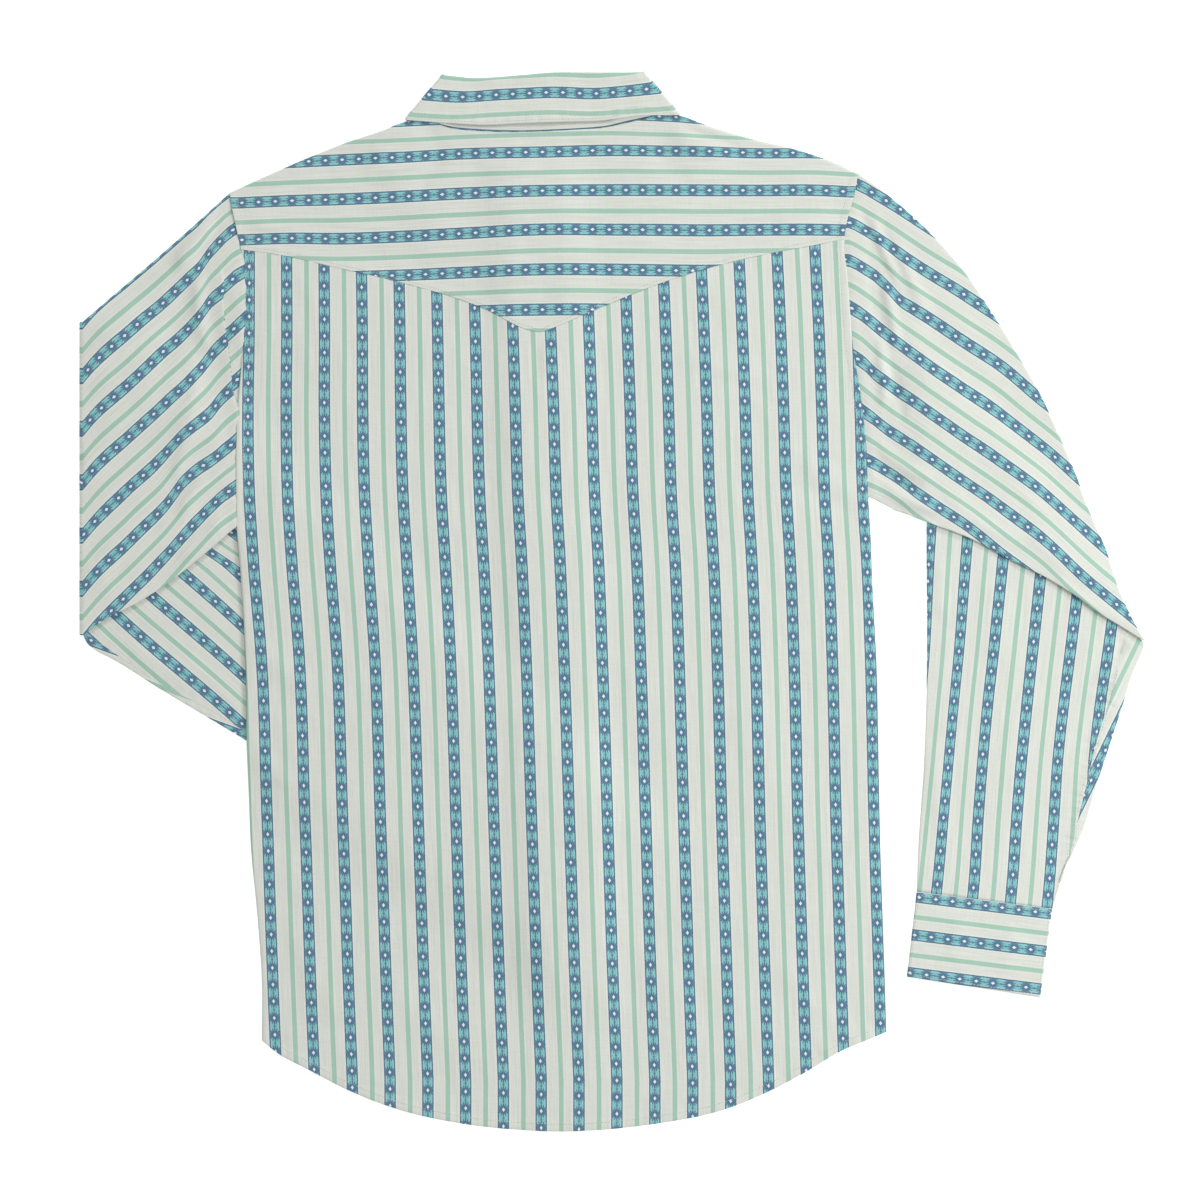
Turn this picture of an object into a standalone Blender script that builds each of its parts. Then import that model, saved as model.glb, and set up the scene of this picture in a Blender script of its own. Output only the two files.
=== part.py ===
"""Snap-front western shirt, laid flat with its back up.

+X is the wearer's right, +Y runs from the hem to the collar and +Z is up from the surface that the
shirt lies on. Sizes below are in millimetres. Each piece that a maker would cut is one object, a wall
of cloth worked out from the tables of its outline. The wearer's left sleeve is folded under along a
crease and runs beneath the body, and the right sleeve is pinched at the elbow and bent down.
"""

import math

import bmesh
import bpy
import numpy as np

MM = 0.001

# Cloth and clearances ------------------------------------------------------------------------------
PLY = 1.0  # wall of one ply of cloth
GAP = 0.3  # clearance between two pieces
LAYER = PLY + GAP  # rise from one ply to the next
SLEEVE_HALF = 1.25  # half the height of a flattened sleeve
SLEEVE_STEP = 3.5  # rise from one flattened sleeve to what lies on it
NECK_STEP = 1.9  # rise of the yoke where the collar lies under it
ROLL = PLY + LAYER  # radius of a side edge that is turned round two plies
FRONT_INSET = 2.8  # distance of a front's edge from the turned edge that covers it
HEM_INSET = 3.0  # the fronts' hems end this much above the back's

# Snaps ---------------------------------------------------------------------------------------------
SNAP_RADIUS = 5.75
SNAP_HEIGHT = 1.5
SNAP_BEVEL = 0.45
SNAP_SIDES = 14
SNAP_RING = 8.0  # how far round a cap the cloth on it is followed
SNAP_GAP = 0.6  # clearance above a cap, where the cloth on it may slope
SNAP_LIFT = SNAP_HEIGHT + SNAP_GAP
FIRST_SNAP_Y = 232.0
SNAP_SPACING = 86.0
FRONT_SNAPS = 7
COLLAR_SNAP = (-57.0, 316.5)

# Placket: the two front bands lie on the body's axis ------------------------------------------------
AXIS_TOP = (-57.5, 216.0)  # where the axis passes the yoke's tip
AXIS_SLOPE = -0.043  # change of x for each unit of y
BAND_PLATEAU = 18.0
BAND_FADE = 34.0
LAST_SNAP_FADE = (-355.0, -305.0)
NECK_FADE = (332.0, 372.0)

# Body outline: height on the shirt, then the x of its left and right edges (armholes and sides)
BODY_SIDES = (
    # y, left, right
    (-351.0, -281.0, 219.2),
    (-302.0, -281.0, 218.0),
    (-246.0, -285.0, 216.0),
    (-198.0, -289.5, 214.3),
    (-150.0, -291.5, 213.5),
    (-110.0, -293.0, 212.8),
    (-60.0, -293.5, 212.0),
    (-22.0, -295.0, 209.6),
    (18.0, -297.5, 207.4),
    (58.0, -300.5, 206.0),
    (84.0, -301.0, 204.0),
    (122.0, -301.0, 202.6),
    (162.0, -299.5, 198.5),
    (206.0, -295.5, 191.6),
    (240.0, -293.6, 189.0),
    (262.0, -294.6, 187.3),
    (283.0, -297.6, 184.9),
    (300.0, -301.5, 186.6),
    (327.0, -306.4, 193.4),
    (342.0, -306.4, 196.0),
)

# Shirt-tail hem of the back
HEM = (
    # x, y
    (-281.0, -351.0),
    (-270.0, -360.0),
    (-243.0, -374.8),
    (-212.0, -390.8),
    (-170.0, -406.8),
    (-122.0, -417.4),
    (-71.0, -422.8),
    (-42.0, -423.8),
    (-14.0, -422.8),
    (38.0, -417.2),
    (88.0, -406.8),
    (127.0, -390.8),
    (157.0, -374.8),
    (184.0, -358.8),
    (204.0, -350.5),
    (219.2, -344.0),
)

# Seam between the back and its pointed yoke
YOKE_SEAM = (
    # x, y
    (-297.6, 282.6),
    (-264.8, 278.0),
    (-225.0, 269.0),
    (-164.0, 254.8),
    (-105.6, 236.4),
    (-66.0, 217.6),
    (-58.0, 216.0),
    (-52.0, 218.2),
    (-13.6, 234.8),
    (35.5, 254.8),
    (90.4, 271.6),
    (164.0, 286.8),
    (184.9, 291.0),
)

# The columns of the body's grid, as fractions across it, with the point of the fronts' top edge
# (shoulder, neck) and of the yoke's top edge that each column ends at
BODY_COLUMNS = (
    # across, front x, front y, yoke x, yoke y
    (0.000, -306.4, 327.0, -306.4, 327.0),
    (0.050, -279.0, 339.5, -279.0, 339.5),
    (0.110, -246.0, 354.0, -246.0, 354.0),
    (0.170, -214.0, 366.8, -214.0, 366.8),
    (0.230, -184.0, 376.8, -184.0, 376.8),
    (0.290, -154.0, 383.0, -153.0, 383.6),
    (0.335, -143.6, 352.2, -130.0, 378.4),
    (0.375, -127.5, 332.0, -109.0, 376.2),
    (0.410, -107.0, 317.0, -91.0, 375.2),
    (0.440, -82.6, 306.5, -76.0, 375.2),
    (0.464, -73.4, 304.0, -66.0, 375.5),
    (0.4965, -57.0, 304.0, -54.0, 375.8),
    (0.529, -40.6, 304.0, -38.0, 376.7),
    (0.553, -31.4, 306.5, -26.0, 377.4),
    (0.583, -7.0, 317.0, -10.0, 378.4),
    (0.618, 13.5, 332.0, 6.0, 381.4),
    (0.658, 29.6, 352.2, 22.0, 385.2),
    (0.703, 42.0, 387.6, 41.0, 388.2),
    (0.763, 75.0, 380.3, 75.0, 380.3),
    (0.823, 110.0, 370.3, 110.0, 370.3),
    (0.883, 147.0, 361.3, 147.0, 361.3),
    (0.943, 178.0, 350.8, 178.0, 350.8),
    (1.000, 196.0, 342.0, 196.0, 342.0),
)
LEFT_BAND_COLUMN = 10  # the left front's inner edge, in BODY_COLUMNS
RIGHT_BAND_COLUMN = 12
LEFT_NECK_COLUMN = 5  # first and last column that end at the collar
RIGHT_NECK_COLUMN = 17
BODY_ROWS = (0.0, 0.03, 0.07, 0.11, 0.16, 0.2, 0.24, 0.28, 0.32, 0.36, 0.4, 0.45, 0.5, 0.56, 0.62)
BODY_ROWS += (0.68, 0.75, 0.83, 0.91, 1.0)
YOKE_ROWS = (0.0, 0.2, 0.42, 0.64, 0.84)
FRONT_TOP_ROWS = (0.33, 0.67, 1.0)
LEFT_ARMPIT = 60.0
RIGHT_ARMPIT = 84.0
ARMPIT_FADE = 25.0

# Collar, from the left front round the back to the right front: the fold where the leaf turns over the
# stand, the leaf's outer edge, and the seam between the stand and the neck
COLLAR_LEFT = (
    # fold x, fold y, edge x, edge y, seam x, seam y
    (-60.0, 329.0, -105.0, 267.0, -57.0, 304.4),
    (-80.0, 339.0, -116.0, 288.0, -82.0, 307.5),
    (-100.0, 353.0, -129.0, 311.0, -106.0, 318.0),
    (-117.0, 374.0, -143.0, 338.0, -126.0, 333.0),
    (-128.0, 396.0, -155.0, 362.0, -142.0, 353.0),
    (-135.5, 419.5, -165.0, 384.5, -152.5, 386.0),
)
COLLAR_BACK = (
    # fold x, fold y, edge x, edge y, seam x, seam y
    (-135.5, 419.5, -165.0, 384.5, -152.5, 386.0),
    (-113.0, 416.9, -131.0, 382.2, -130.0, 379.4),
    (-94.6, 417.4, -104.0, 380.8, -104.0, 377.0),
    (-70.0, 419.4, -77.0, 382.0, -77.0, 376.2),
    (-44.0, 421.4, -49.0, 383.0, -49.0, 376.9),
    (-10.0, 421.4, -10.0, 384.2, -10.0, 379.3),
    (10.0, 421.2, 20.0, 388.0, 12.0, 384.0),
    (24.0, 421.8, 52.2, 388.5, 40.5, 390.0),
)
COLLAR_RIGHT = (
    # fold x, fold y, edge x, edge y, seam x, seam y
    (24.0, 421.8, 52.2, 388.5, 40.5, 390.0),
    (16.0, 396.0, 42.0, 364.0, 29.0, 353.0),
    (5.0, 374.0, 30.0, 338.0, 13.0, 333.0),
    (-12.0, 353.0, 16.0, 311.0, -7.0, 318.0),
    (-32.0, 339.0, 4.0, 288.0, -31.0, 307.5),
    (-52.0, 329.0, -7.0, 267.0, -57.0, 304.4),
)
STAND_OVERLAP = 16.0  # each end of the stand passes the axis by this much
STAND_END_RISE = 0.5  # the stand's ends stand this much above the next fold point
STAND_TUCK = 0.1  # the stand's top edge ends this much below the leaf's fold
COLLAR_MIDDLE = 2.75  # height of the axis that the collar turns round at the neck's sides
LEAF_TURN = 2.25  # radius of the leaf's middle surface there
STAND_TURN = 0.95
FOLD_RADIUS = 1.3  # radius of the leaf's roll over the stand's top edge
LEFT_WING = (-148.0, 395.0, -88.0, 302.0)  # spine of the leaf's part under the left front
RIGHT_WING = (38.0, 395.0, -22.0, 302.0)
NECK_SPINE = (-140.0, 385.0, 30.0, 388.0)
WING_RADIUS, WING_FADE = 42.0, 40.0
NECK_RADIUS, NECK_SPREAD = 15.0, 60.0

# Left sleeve: edges of the upper part from the armhole to the crease, then of the forearm that is
# folded back under it, from the crease to the cuff
LEFT_CREASE = -423.6
LEFT_CREASE_TOP = (LEFT_CREASE, 223.6)
LEFT_CREASE_FOOT = (LEFT_CREASE, -27.0)
LEFT_UPPER_OUTER = ((-306.7, 326.5), (-337.0, 299.0), (-370.0, 270.0), (-401.0, 243.5), LEFT_CREASE_TOP)
LEFT_UPPER_INNER = (
    (-301.0, 59.5),
    (-332.2, 32.8),
    (-356.0, 14.2),
    (-381.6, -2.0),
    (-407.5, -15.1),
    LEFT_CREASE_FOOT,
)
LEFT_FORE_OUTER = (LEFT_CREASE_TOP, (-400.0, 200.0), (-37.0, -145.0))
LEFT_FORE_INNER = (
    LEFT_CREASE_FOOT,
    (-415.0, -36.5),
    (-402.0, -43.5),
    (-360.8, -70.8),
    (-307.2, -102.8),
    (-107.0, -229.0),
)
LEFT_CUFF = ((-36.8, -145.3), (-106.8, -229.3), (15.0, -187.0), (-55.0, -271.0))

# Right sleeve: edges of the upper part down to the fold that crosses the elbow, then of the forearm
# that comes out from under that fold
RIGHT_UPPER_OUTER = (
    (196.3, 342.0),
    (214.4, 329.2),
    (251.2, 297.2),
    (280.0, 265.2),
    (301.6, 233.2),
    (321.6, 201.2),
    (340.0, 169.2),
    (355.2, 137.2),
    (368.8, 105.2),
    (380.8, 73.2),
    (394.4, 41.2),
    (404.8, 9.2),
    (420.0, -22.8),
    (426.0, -32.6),
)
RIGHT_FOLD = (
    (426.0, -32.6),
    (408.5, -21.6),
    (391.2, -11.2),
    (368.6, 5.2),
    (346.0, 19.1),
    (321.6, 31.3),
    (285.3, 50.4),
    (250.4, 63.6),
    (224.0, 73.9),
)
RIGHT_UPPER_INNER = ((204.6, 83.4), (224.0, 73.9))
RIGHT_FORE_START = ((421.0, -33.5), (253.0, 172.0))
RIGHT_FORE_OUTER = (
    (421.0, -33.5),
    (416.8, -54.8),
    (406.4, -86.8),
    (396.0, -118.8),
    (385.6, -150.8),
    (376.0, -182.8),
    (361.5, -214.8),
    (351.6, -245.6),
)
RIGHT_FORE_INNER = (
    (253.0, 172.0),
    (250.8, 57.2),
    (251.2, -38.8),
    (250.4, -86.8),
    (248.8, -126.8),
    (244.0, -198.8),
    (242.8, -232.0),
)
RIGHT_CUFF = ((351.2, -246.0), (242.6, -232.5), (341.6, -316.4), (234.9, -299.8))
CUFF_SNAP_ROWS = (0.27, 0.73)  # the snaps' places up each cuff
CUFF_PLATEAU, CUFF_FADE = 40.0, 75.0
BED_FADE = 55.0  # how far from a hidden sleeve the cloth on it comes back down
ELBOW_FADE = 38.0
ARMHOLE_ROWS = 5  # rows of the body's grid that end at an armhole, below the yoke
SLEEVE_ACROSS = ARMHOLE_ROWS + 3  # points across one face of a flattened sleeve
SEAM_GAP = 0.45  # clearance between a sleeve and the body

CLOTH = ("cotton", (0.71, 0.73, 0.64, 1.0), 0.85)
PEARL = ("pearl", (0.86, 0.87, 0.85, 1.0), 0.22)


# Small mathematics ---------------------------------------------------------------------------------
def smooth(value):
    """0 below 0, 1 above 1 and 3v^2 - 2v^3 between them."""
    value = np.clip(value, 0.0, 1.0)
    return value * value * (3.0 - 2.0 * value)


def along(points, fractions):
    """The points at these fractions of a polyline's length."""
    points = np.array(points, float)
    steps = np.linalg.norm(np.diff(points, axis=0), axis=1)
    reach = np.concatenate([[0.0], np.cumsum(steps)]) / steps.sum()
    return np.stack([np.interp(fractions, reach, points[:, axis]) for axis in (0, 1)], axis=1)


def height_at(table, x):
    """y of a table of (x, y) rows at x."""
    table = np.array(table)
    return np.interp(x, table[:, 0], table[:, 1])


def patch(bottom, top, left, right, across, up):
    """A grid between four edges: the blend of bottom and top, plus the blend of left and right, less
    the blend of the corners."""
    across = np.asarray(across)[None, :, None]
    up = np.asarray(up)[:, None, None]
    between_rows = (1 - up) * bottom[None] + up * top[None]
    between_sides = (1 - across) * left[:, None] + across * right[:, None]
    lower = (1 - across) * bottom[0] + across * bottom[-1]
    upper = (1 - across) * top[0] + across * top[-1]
    return between_rows + between_sides - (1 - up) * lower - up * upper


def distance_to(x, y, spine):
    """Distance from the segment (x0, y0, x1, y1)."""
    x0, y0, x1, y1 = spine
    dx, dy = x1 - x0, y1 - y0
    share = np.clip(((x - x0) * dx + (y - y0) * dy) / (dx * dx + dy * dy), 0.0, 1.0)
    return np.hypot(x - x0 - share * dx, y - y0 - share * dy)


def beyond(x, y, start, end):
    """How far a point lies to the left of the line from start to end."""
    dx, dy = end[0] - start[0], end[1] - start[1]
    return (dx * (y - start[1]) - dy * (x - start[0])) / math.hypot(dx, dy)


# Heights of the lowest face of each layer ------------------------------------------------------------
def cuff_rise(x, y, corners):
    """Cuffs lie on their snap caps and come down to the surface round them."""
    centre = np.mean(corners, axis=0)
    away = np.hypot(x - centre[0], y - centre[1])
    return SNAP_LIFT * (1 - smooth((away - CUFF_PLATEAU) / CUFF_FADE))


def left_forearm_bed(x, y):
    """1 over the forearm and cuff folded under the body, fading to 0 round them."""
    outer = -beyond(x, y, LEFT_FORE_OUTER[-1], LEFT_FORE_OUTER[0])
    inner = beyond(x, y, LEFT_FORE_INNER[-1], LEFT_CREASE_FOOT)
    end = beyond(x, y, LEFT_CUFF[3], LEFT_CUFF[2])
    away = np.maximum(np.maximum(outer, inner), -end)
    return 1 - smooth(away / BED_FADE)


def right_forearm_bed(x, y):
    """1 where the right forearm lies under the upper sleeve, fading to 0 round it."""
    start = -beyond(x, y, RIGHT_FORE_START[0], RIGHT_FORE_START[1])
    inner = RIGHT_FORE_START[1][0] - x
    return (1 - smooth(start / ELBOW_FADE)) * (1 - smooth(inner / ELBOW_FADE))


def under_body(x, y):
    """Height that the hidden left forearm gives the body."""
    return SLEEVE_STEP * left_forearm_bed(x, y) + cuff_rise(x, y, LEFT_CUFF)


def placket(x, y):
    """1 on the front bands, fading to 0 beside them and above the neck seam."""
    aside = np.abs(x - AXIS_TOP[0] - AXIS_SLOPE * (y - AXIS_TOP[1]))
    low, high = NECK_FADE
    return (1 - smooth((aside - BAND_PLATEAU) / BAND_FADE)) * (1 - smooth((y - low) / (high - low)))


def snap_rise(x, y):
    """Height that the snap caps give the bands, which come down below the last snap."""
    low, high = LAST_SNAP_FADE
    return SNAP_LIFT * placket(x, y) * smooth((y - low) / (high - low))


def wings(x, y):
    """1 over the collar's points, which lie under the fronts."""
    away = np.minimum(distance_to(x, y, LEFT_WING), distance_to(x, y, RIGHT_WING))
    return 1 - smooth((away - WING_RADIUS) / WING_FADE)


def collar_bed(x, y):
    """1 over the whole collar, for the yoke that meets the stand."""
    back = 1 - smooth((distance_to(x, y, NECK_SPINE) - NECK_RADIUS) / NECK_SPREAD)
    return np.maximum(wings(x, y), back)


def outer_front_floor(x, y):
    return under_body(x, y) + snap_rise(x, y) + LAYER * wings(x, y)


def inner_front_floor(x, y):
    return outer_front_floor(x, y) + LAYER * placket(x, y)


def back_floor(x, y):
    return inner_front_floor(x, y) + LAYER


def yoke_floor(x, y):
    lifted = under_body(x, y) + snap_rise(x, y) + LAYER * placket(x, y)
    return lifted + LAYER + NECK_STEP * collar_bed(x, y)


# Meshes --------------------------------------------------------------------------------------------
def clear_scene():
    for thing in list(bpy.data.objects):
        bpy.data.objects.remove(thing, do_unlink=True)


def material(look):
    name, colour, roughness = look
    found = bpy.data.materials.get(name)
    if found:
        return found
    made = bpy.data.materials.new(name)
    made.use_nodes = True
    shader = made.node_tree.nodes["Principled BSDF"]
    shader.inputs["Base Color"].default_value = colour
    shader.inputs["Roughness"].default_value = roughness
    shader.inputs["Metallic"].default_value = 0.0
    return made


def add_object(name, mesh, look):
    piece = bpy.data.objects.new(name, mesh)
    bpy.context.scene.collection.objects.link(piece)
    mesh.materials.append(material(look))
    return piece


def grid_faces(rows, columns, first=0, ring=False):
    """Triangles of a grid of vertices, closed from its last column to its first where it is a ring.
    Every square is cut along the same diagonal, so that plies with one grid stay parallel."""
    index = first + np.arange(rows * columns).reshape(rows, columns)
    if ring:
        index = np.concatenate([index, index[:, :1]], axis=1)
    return cut_squares(index[:-1, :-1], index[:-1, 1:], index[1:, 1:], index[1:, :-1])


def strip_faces(one, other):
    """Triangles between two equally long runs of vertices."""
    return cut_squares(one[:-1], one[1:], other[1:], other[:-1])


def cut_squares(a, b, c, d):
    halves = np.stack([a, b, c], axis=-1), np.stack([a, c, d], axis=-1)
    return np.concatenate([half.reshape(-1, 3) for half in halves])


def cloth_object(name, points, faces):
    """A closed cloth piece from points in millimetres: its doubles are merged and its faces turned
    outwards."""
    mesh = bpy.data.meshes.new(name)
    mesh.from_pydata((np.asarray(points) * MM).tolist(), [], np.asarray(faces).tolist())
    work = bmesh_of(mesh)
    bmesh.ops.remove_doubles(work, verts=work.verts, dist=0.000002)
    bmesh.ops.recalc_face_normals(work, faces=work.faces)
    work.to_mesh(mesh)
    work.free()
    return add_object(name, mesh, CLOTH)


def bmesh_of(mesh):
    work = bmesh.new()
    work.from_mesh(mesh)
    return work


def slab(name, outer, inner):
    """A sheet of cloth between an outer and an inner grid of points."""
    rows, columns = outer.shape[:2]
    count = rows * columns
    index = np.arange(count).reshape(rows, columns)
    border = np.concatenate([index[0], index[1:, -1], index[-1, -2::-1], index[-2::-1, 0]])
    faces = np.concatenate(
        [
            grid_faces(rows, columns),
            grid_faces(rows, columns, count)[:, ::-1],
            strip_faces(border, border + count),
        ]
    )
    points = np.concatenate([outer.reshape(-1, 3), inner.reshape(-1, 3)])
    return cloth_object(name, points, faces)


def level_slab(name, plan, floor):
    """A ply whose lowest face is floor(x, y) over a plan of (x, y) points."""
    bottom = floor(plan[..., 0], plan[..., 1])[..., None]
    outer = np.concatenate([plan, bottom + PLY], axis=-1)
    inner = np.concatenate([plan, bottom], axis=-1)
    return slab(name, outer, inner)


def rings(middle, normal, half):
    """Closed rings round a flattened tube: its face on the normal's side, a half circle round the
    last edge, the other face and a half circle round the first edge. half is the tube's half height
    at each row."""
    half = np.broadcast_to(np.asarray(half, float), middle.shape[:1])[:, None, None]
    first_out = middle[:, 0] - middle[:, 1]
    last_out = middle[:, -1] - middle[:, -2]
    first_out /= np.linalg.norm(first_out, axis=-1, keepdims=True)
    last_out /= np.linalg.norm(last_out, axis=-1, keepdims=True)
    turns = np.radians([45.0, 90.0, 135.0])[None, :, None]
    last_arc = np.sin(turns) * last_out[:, None] + np.cos(turns) * normal[:, -1:]
    first_arc = np.sin(turns) * first_out[:, None] - np.cos(turns) * normal[:, :1]
    parts = [
        middle + half * normal,
        middle[:, -1:] + half * last_arc,
        (middle - half * normal)[:, ::-1],
        middle[:, :1] + half * first_arc,
    ]
    return np.concatenate(parts, axis=1)


def tube(name, outer, inner, closed_end=False):
    """A flattened sleeve between outer and inner rings, open at its first row, and at its last one
    unless closed_end says that the rings there shrink to a line."""
    rows, columns = outer.shape[:2]
    count = rows * columns
    index = np.arange(count).reshape(rows, columns)
    index = np.concatenate([index, index[:, :1]], axis=1)
    faces = [
        grid_faces(rows, columns, ring=True),
        grid_faces(rows, columns, count, ring=True)[:, ::-1],
        strip_faces(index[0], index[0] + count),
    ]
    if not closed_end:
        faces.append(strip_faces(index[-1], index[-1] + count))
    points = np.concatenate([outer.reshape(-1, 3), inner.reshape(-1, 3)])
    return cloth_object(name, points, np.concatenate(faces))


# Body ----------------------------------------------------------------------------------------------
ACROSS = np.array([row[0] for row in BODY_COLUMNS])


def body_plan():
    """Points of the body from the hem to the yoke seam, at each of its rows and columns."""
    left = side_edge(HEM[0][1], YOKE_SEAM[0][1], 0, BODY_ROWS)
    right = side_edge(HEM[-1][1], YOKE_SEAM[-1][1], 1, BODY_ROWS)
    lines = []
    for table, row in ((HEM, 0), (YOKE_SEAM, -1)):
        x = left[row, 0] + ACROSS * (right[row, 0] - left[row, 0])
        lines.append(np.stack([x, height_at(table, x)], axis=1))
    return patch(*lines, left, right, ACROSS, BODY_ROWS)


def side_edge(y_low, y_high, end, rows):
    """Points of the body's left (0) or right (1) edge between two heights."""
    sides = np.array(BODY_SIDES)
    y = y_low + np.asarray(rows) * (y_high - y_low)
    return np.stack([np.interp(y, sides[:, 0], sides[:, 1 + end]), y], axis=1)


def turned(plan, axis, end, amount):
    """Rolls the last three lines of a plan's edge down round the plies below. Returns the plan's
    outer and inner points and the heights to add to them. amount is 0 to 1 along the edge."""
    plan = np.moveaxis(plan, axis, 0)
    if end:
        plan = plan[::-1]
    inward = plan[3] - plan[0]
    inward /= np.linalg.norm(inward, axis=-1, keepdims=True)
    turn = np.radians([0.0, 45.0, 90.0])[:, None]
    amount = np.asarray(amount)[None, :]
    out_inset = ROLL * (1 - np.cos(turn)) * np.ones_like(amount)
    in_inset = out_inset + amount * (ROLL - LAYER * np.cos(turn) - out_inset)
    out_drop = amount * ROLL * (np.sin(turn) - 1)
    in_drop = amount * LAYER * (np.sin(turn) - 1)
    results = []
    for inset, drop in ((out_inset, out_drop), (in_inset, in_drop)):
        moved = plan.copy()
        moved[:3] = plan[0] + inward * inset[..., None]
        heights = np.zeros(plan.shape[:2])
        heights[:3] = drop
        if end:
            moved, heights = moved[::-1], heights[::-1]
        results += [np.moveaxis(moved, 0, axis), np.moveaxis(heights, 0, axis)]
    return results


def side_turn(plan_y, armpit):
    """How far a side edge is turned under: not at the armhole, fully below it."""
    return smooth((armpit - plan_y) / ARMPIT_FADE)


def back_panel():
    plan = body_plan()
    plan = np.concatenate([plan[:, :1], plan[:, :1], plan, plan[:, -1:], plan[:, -1:]], axis=1)
    plan[-1, :, 1] -= GAP / 2
    left = turned(plan, 1, 0, side_turn(plan[:, 0, 1], LEFT_ARMPIT))
    right = turned(plan, 1, 1, side_turn(plan[:, -1, 1], RIGHT_ARMPIT))
    half = plan.shape[1] // 2
    faces = []
    for flat, drop, rise in ((0, 1, PLY), (2, 3, 0.0)):
        xy = np.concatenate([left[flat][:, :half], right[flat][:, half:]], axis=1)
        z = back_floor(xy[..., 0], xy[..., 1]) + rise + left[drop] + right[drop]
        faces.append(np.concatenate([xy, z[..., None]], axis=-1))
    slab("back_panel", *faces)


def back_yoke():
    columns = np.array(BODY_COLUMNS)
    bottom = body_plan()[-1]
    bottom[:, 1] += GAP / 2
    top = columns[:, 3:5]
    rows = np.array(YOKE_ROWS + (1.0, 1.0, 1.0))
    left = side_edge(bottom[0, 1], top[0, 1], 0, rows)
    right = side_edge(bottom[-1, 1], top[-1, 1], 1, rows)
    plan = patch(bottom, top, left, right, ACROSS, rows)
    shoulder = np.ones(len(ACROSS))
    shoulder[LEFT_NECK_COLUMN : RIGHT_NECK_COLUMN + 1] = 0.0
    out_plan, out_drop, in_plan, in_drop = turned(plan, 0, 1, shoulder)
    faces = []
    for xy, drop, rise in ((out_plan, out_drop, PLY), (in_plan, in_drop, 0.0)):
        z = yoke_floor(xy[..., 0], xy[..., 1]) + rise + drop
        faces.append(np.concatenate([xy, z[..., None]], axis=-1))
    slab("back_yoke", *faces)


def front(name, first, last, end, armpit, floor):
    """One front, from its side edge to its band, columns first to last of the body's grid."""
    lower = body_plan()[:, first : last + 1]
    lower[0, :, 1] += HEM_INSET
    top = np.array(BODY_COLUMNS)[first : last + 1, 1:3]
    shoulder = slice(0, LEFT_NECK_COLUMN) if end == 0 else slice(RIGHT_NECK_COLUMN - first + 1, None)
    top[shoulder, 1] -= FRONT_INSET
    rows = np.array((0.0,) + FRONT_TOP_ROWS)
    across = ACROSS[first : last + 1]
    fractions = (across - across[0]) / (across[-1] - across[0])
    seam = lower[-1]
    outside = side_edge(seam[-end, 1], top[-end, 1], end, rows)
    inside = seam[end - 1] + rows[:, None] * (top[end - 1] - seam[end - 1])
    sides = (outside, inside) if end == 0 else (inside, outside)
    upper = patch(seam, top, *sides, fractions, rows)
    plan = np.concatenate([lower, upper[1:]])
    inset = FRONT_INSET * side_turn(plan[:, -end, 1], armpit)
    plan[:, -end, 0] += inset if end == 0 else -inset
    plan[:, end - 1, 0] += -GAP / 2 if end == 0 else GAP / 2
    level_slab(name, plan, floor)


def front_band(name, floor):
    """A band of the placket: its edges and middle follow the body's grid to the neck seam."""
    columns = slice(LEFT_BAND_COLUMN, RIGHT_BAND_COLUMN + 1)
    lower = body_plan()[:, columns]
    lower[0, :, 1] += HEM_INSET
    top = np.array(BODY_COLUMNS)[columns, 1:3]
    rows = np.array(FRONT_TOP_ROWS)[:, None, None]
    plan = np.concatenate([lower, lower[-1] + rows * (top - lower[-1])])
    plan[:, 0, 0] += GAP / 2
    plan[:, -1, 0] -= GAP / 2
    level_slab(name, plan, floor)


# Collar --------------------------------------------------------------------------------------------
def horizontal_left(direction):
    """A horizontal direction turned a quarter to its left."""
    return np.stack([-direction[..., 1], direction[..., 0], np.zeros(direction.shape[:-1])], axis=-1)


def collar_stations(inner_column):
    """The collar's rows in order, each with the foot and the fold of its cross-section and how far
    the collar has turned there, from 180 on the fronts to 0 on the back. inner_column is the table
    column of the foot: the leaf's edge or the stand's seam."""
    stations = []
    stretches = (
        (COLLAR_LEFT, 180.0, (135.0, 90.0, 45.0)),
        (COLLAR_BACK, 0.0, (45.0, 90.0, 135.0)),
        (COLLAR_RIGHT, 180.0, ()),
    )
    for table, turn, turns in stretches:
        for row in table:
            stations.append((row[inner_column : inner_column + 2], row[:2], turn))
        corner = table[-1]
        for part_way in turns:
            stations.append((corner[inner_column : inner_column + 2], corner[:2], part_way))
    return stations


def collar_frames(stations):
    """Foot and fold points, the direction from foot to fold, and the outward side of each station:
    down on the fronts, sideways at the neck's sides and up on the back."""
    foot = np.array([station[0] for station in stations], float)
    fold = np.array([station[1] for station in stations], float)
    turn = np.radians([station[2] for station in stations])[:, None]
    climb = fold - foot
    climb /= np.linalg.norm(climb, axis=1, keepdims=True)
    climb = np.concatenate([climb, np.zeros((len(climb), 1))], axis=1)
    aside = horizontal_left(climb)
    half = len(stations) // 2
    aside[half:] *= -1
    outward = np.cos(turn) * np.array([0.0, 0.0, 1.0]) + np.sin(turn) * aside
    return foot, fold, climb, outward


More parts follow.
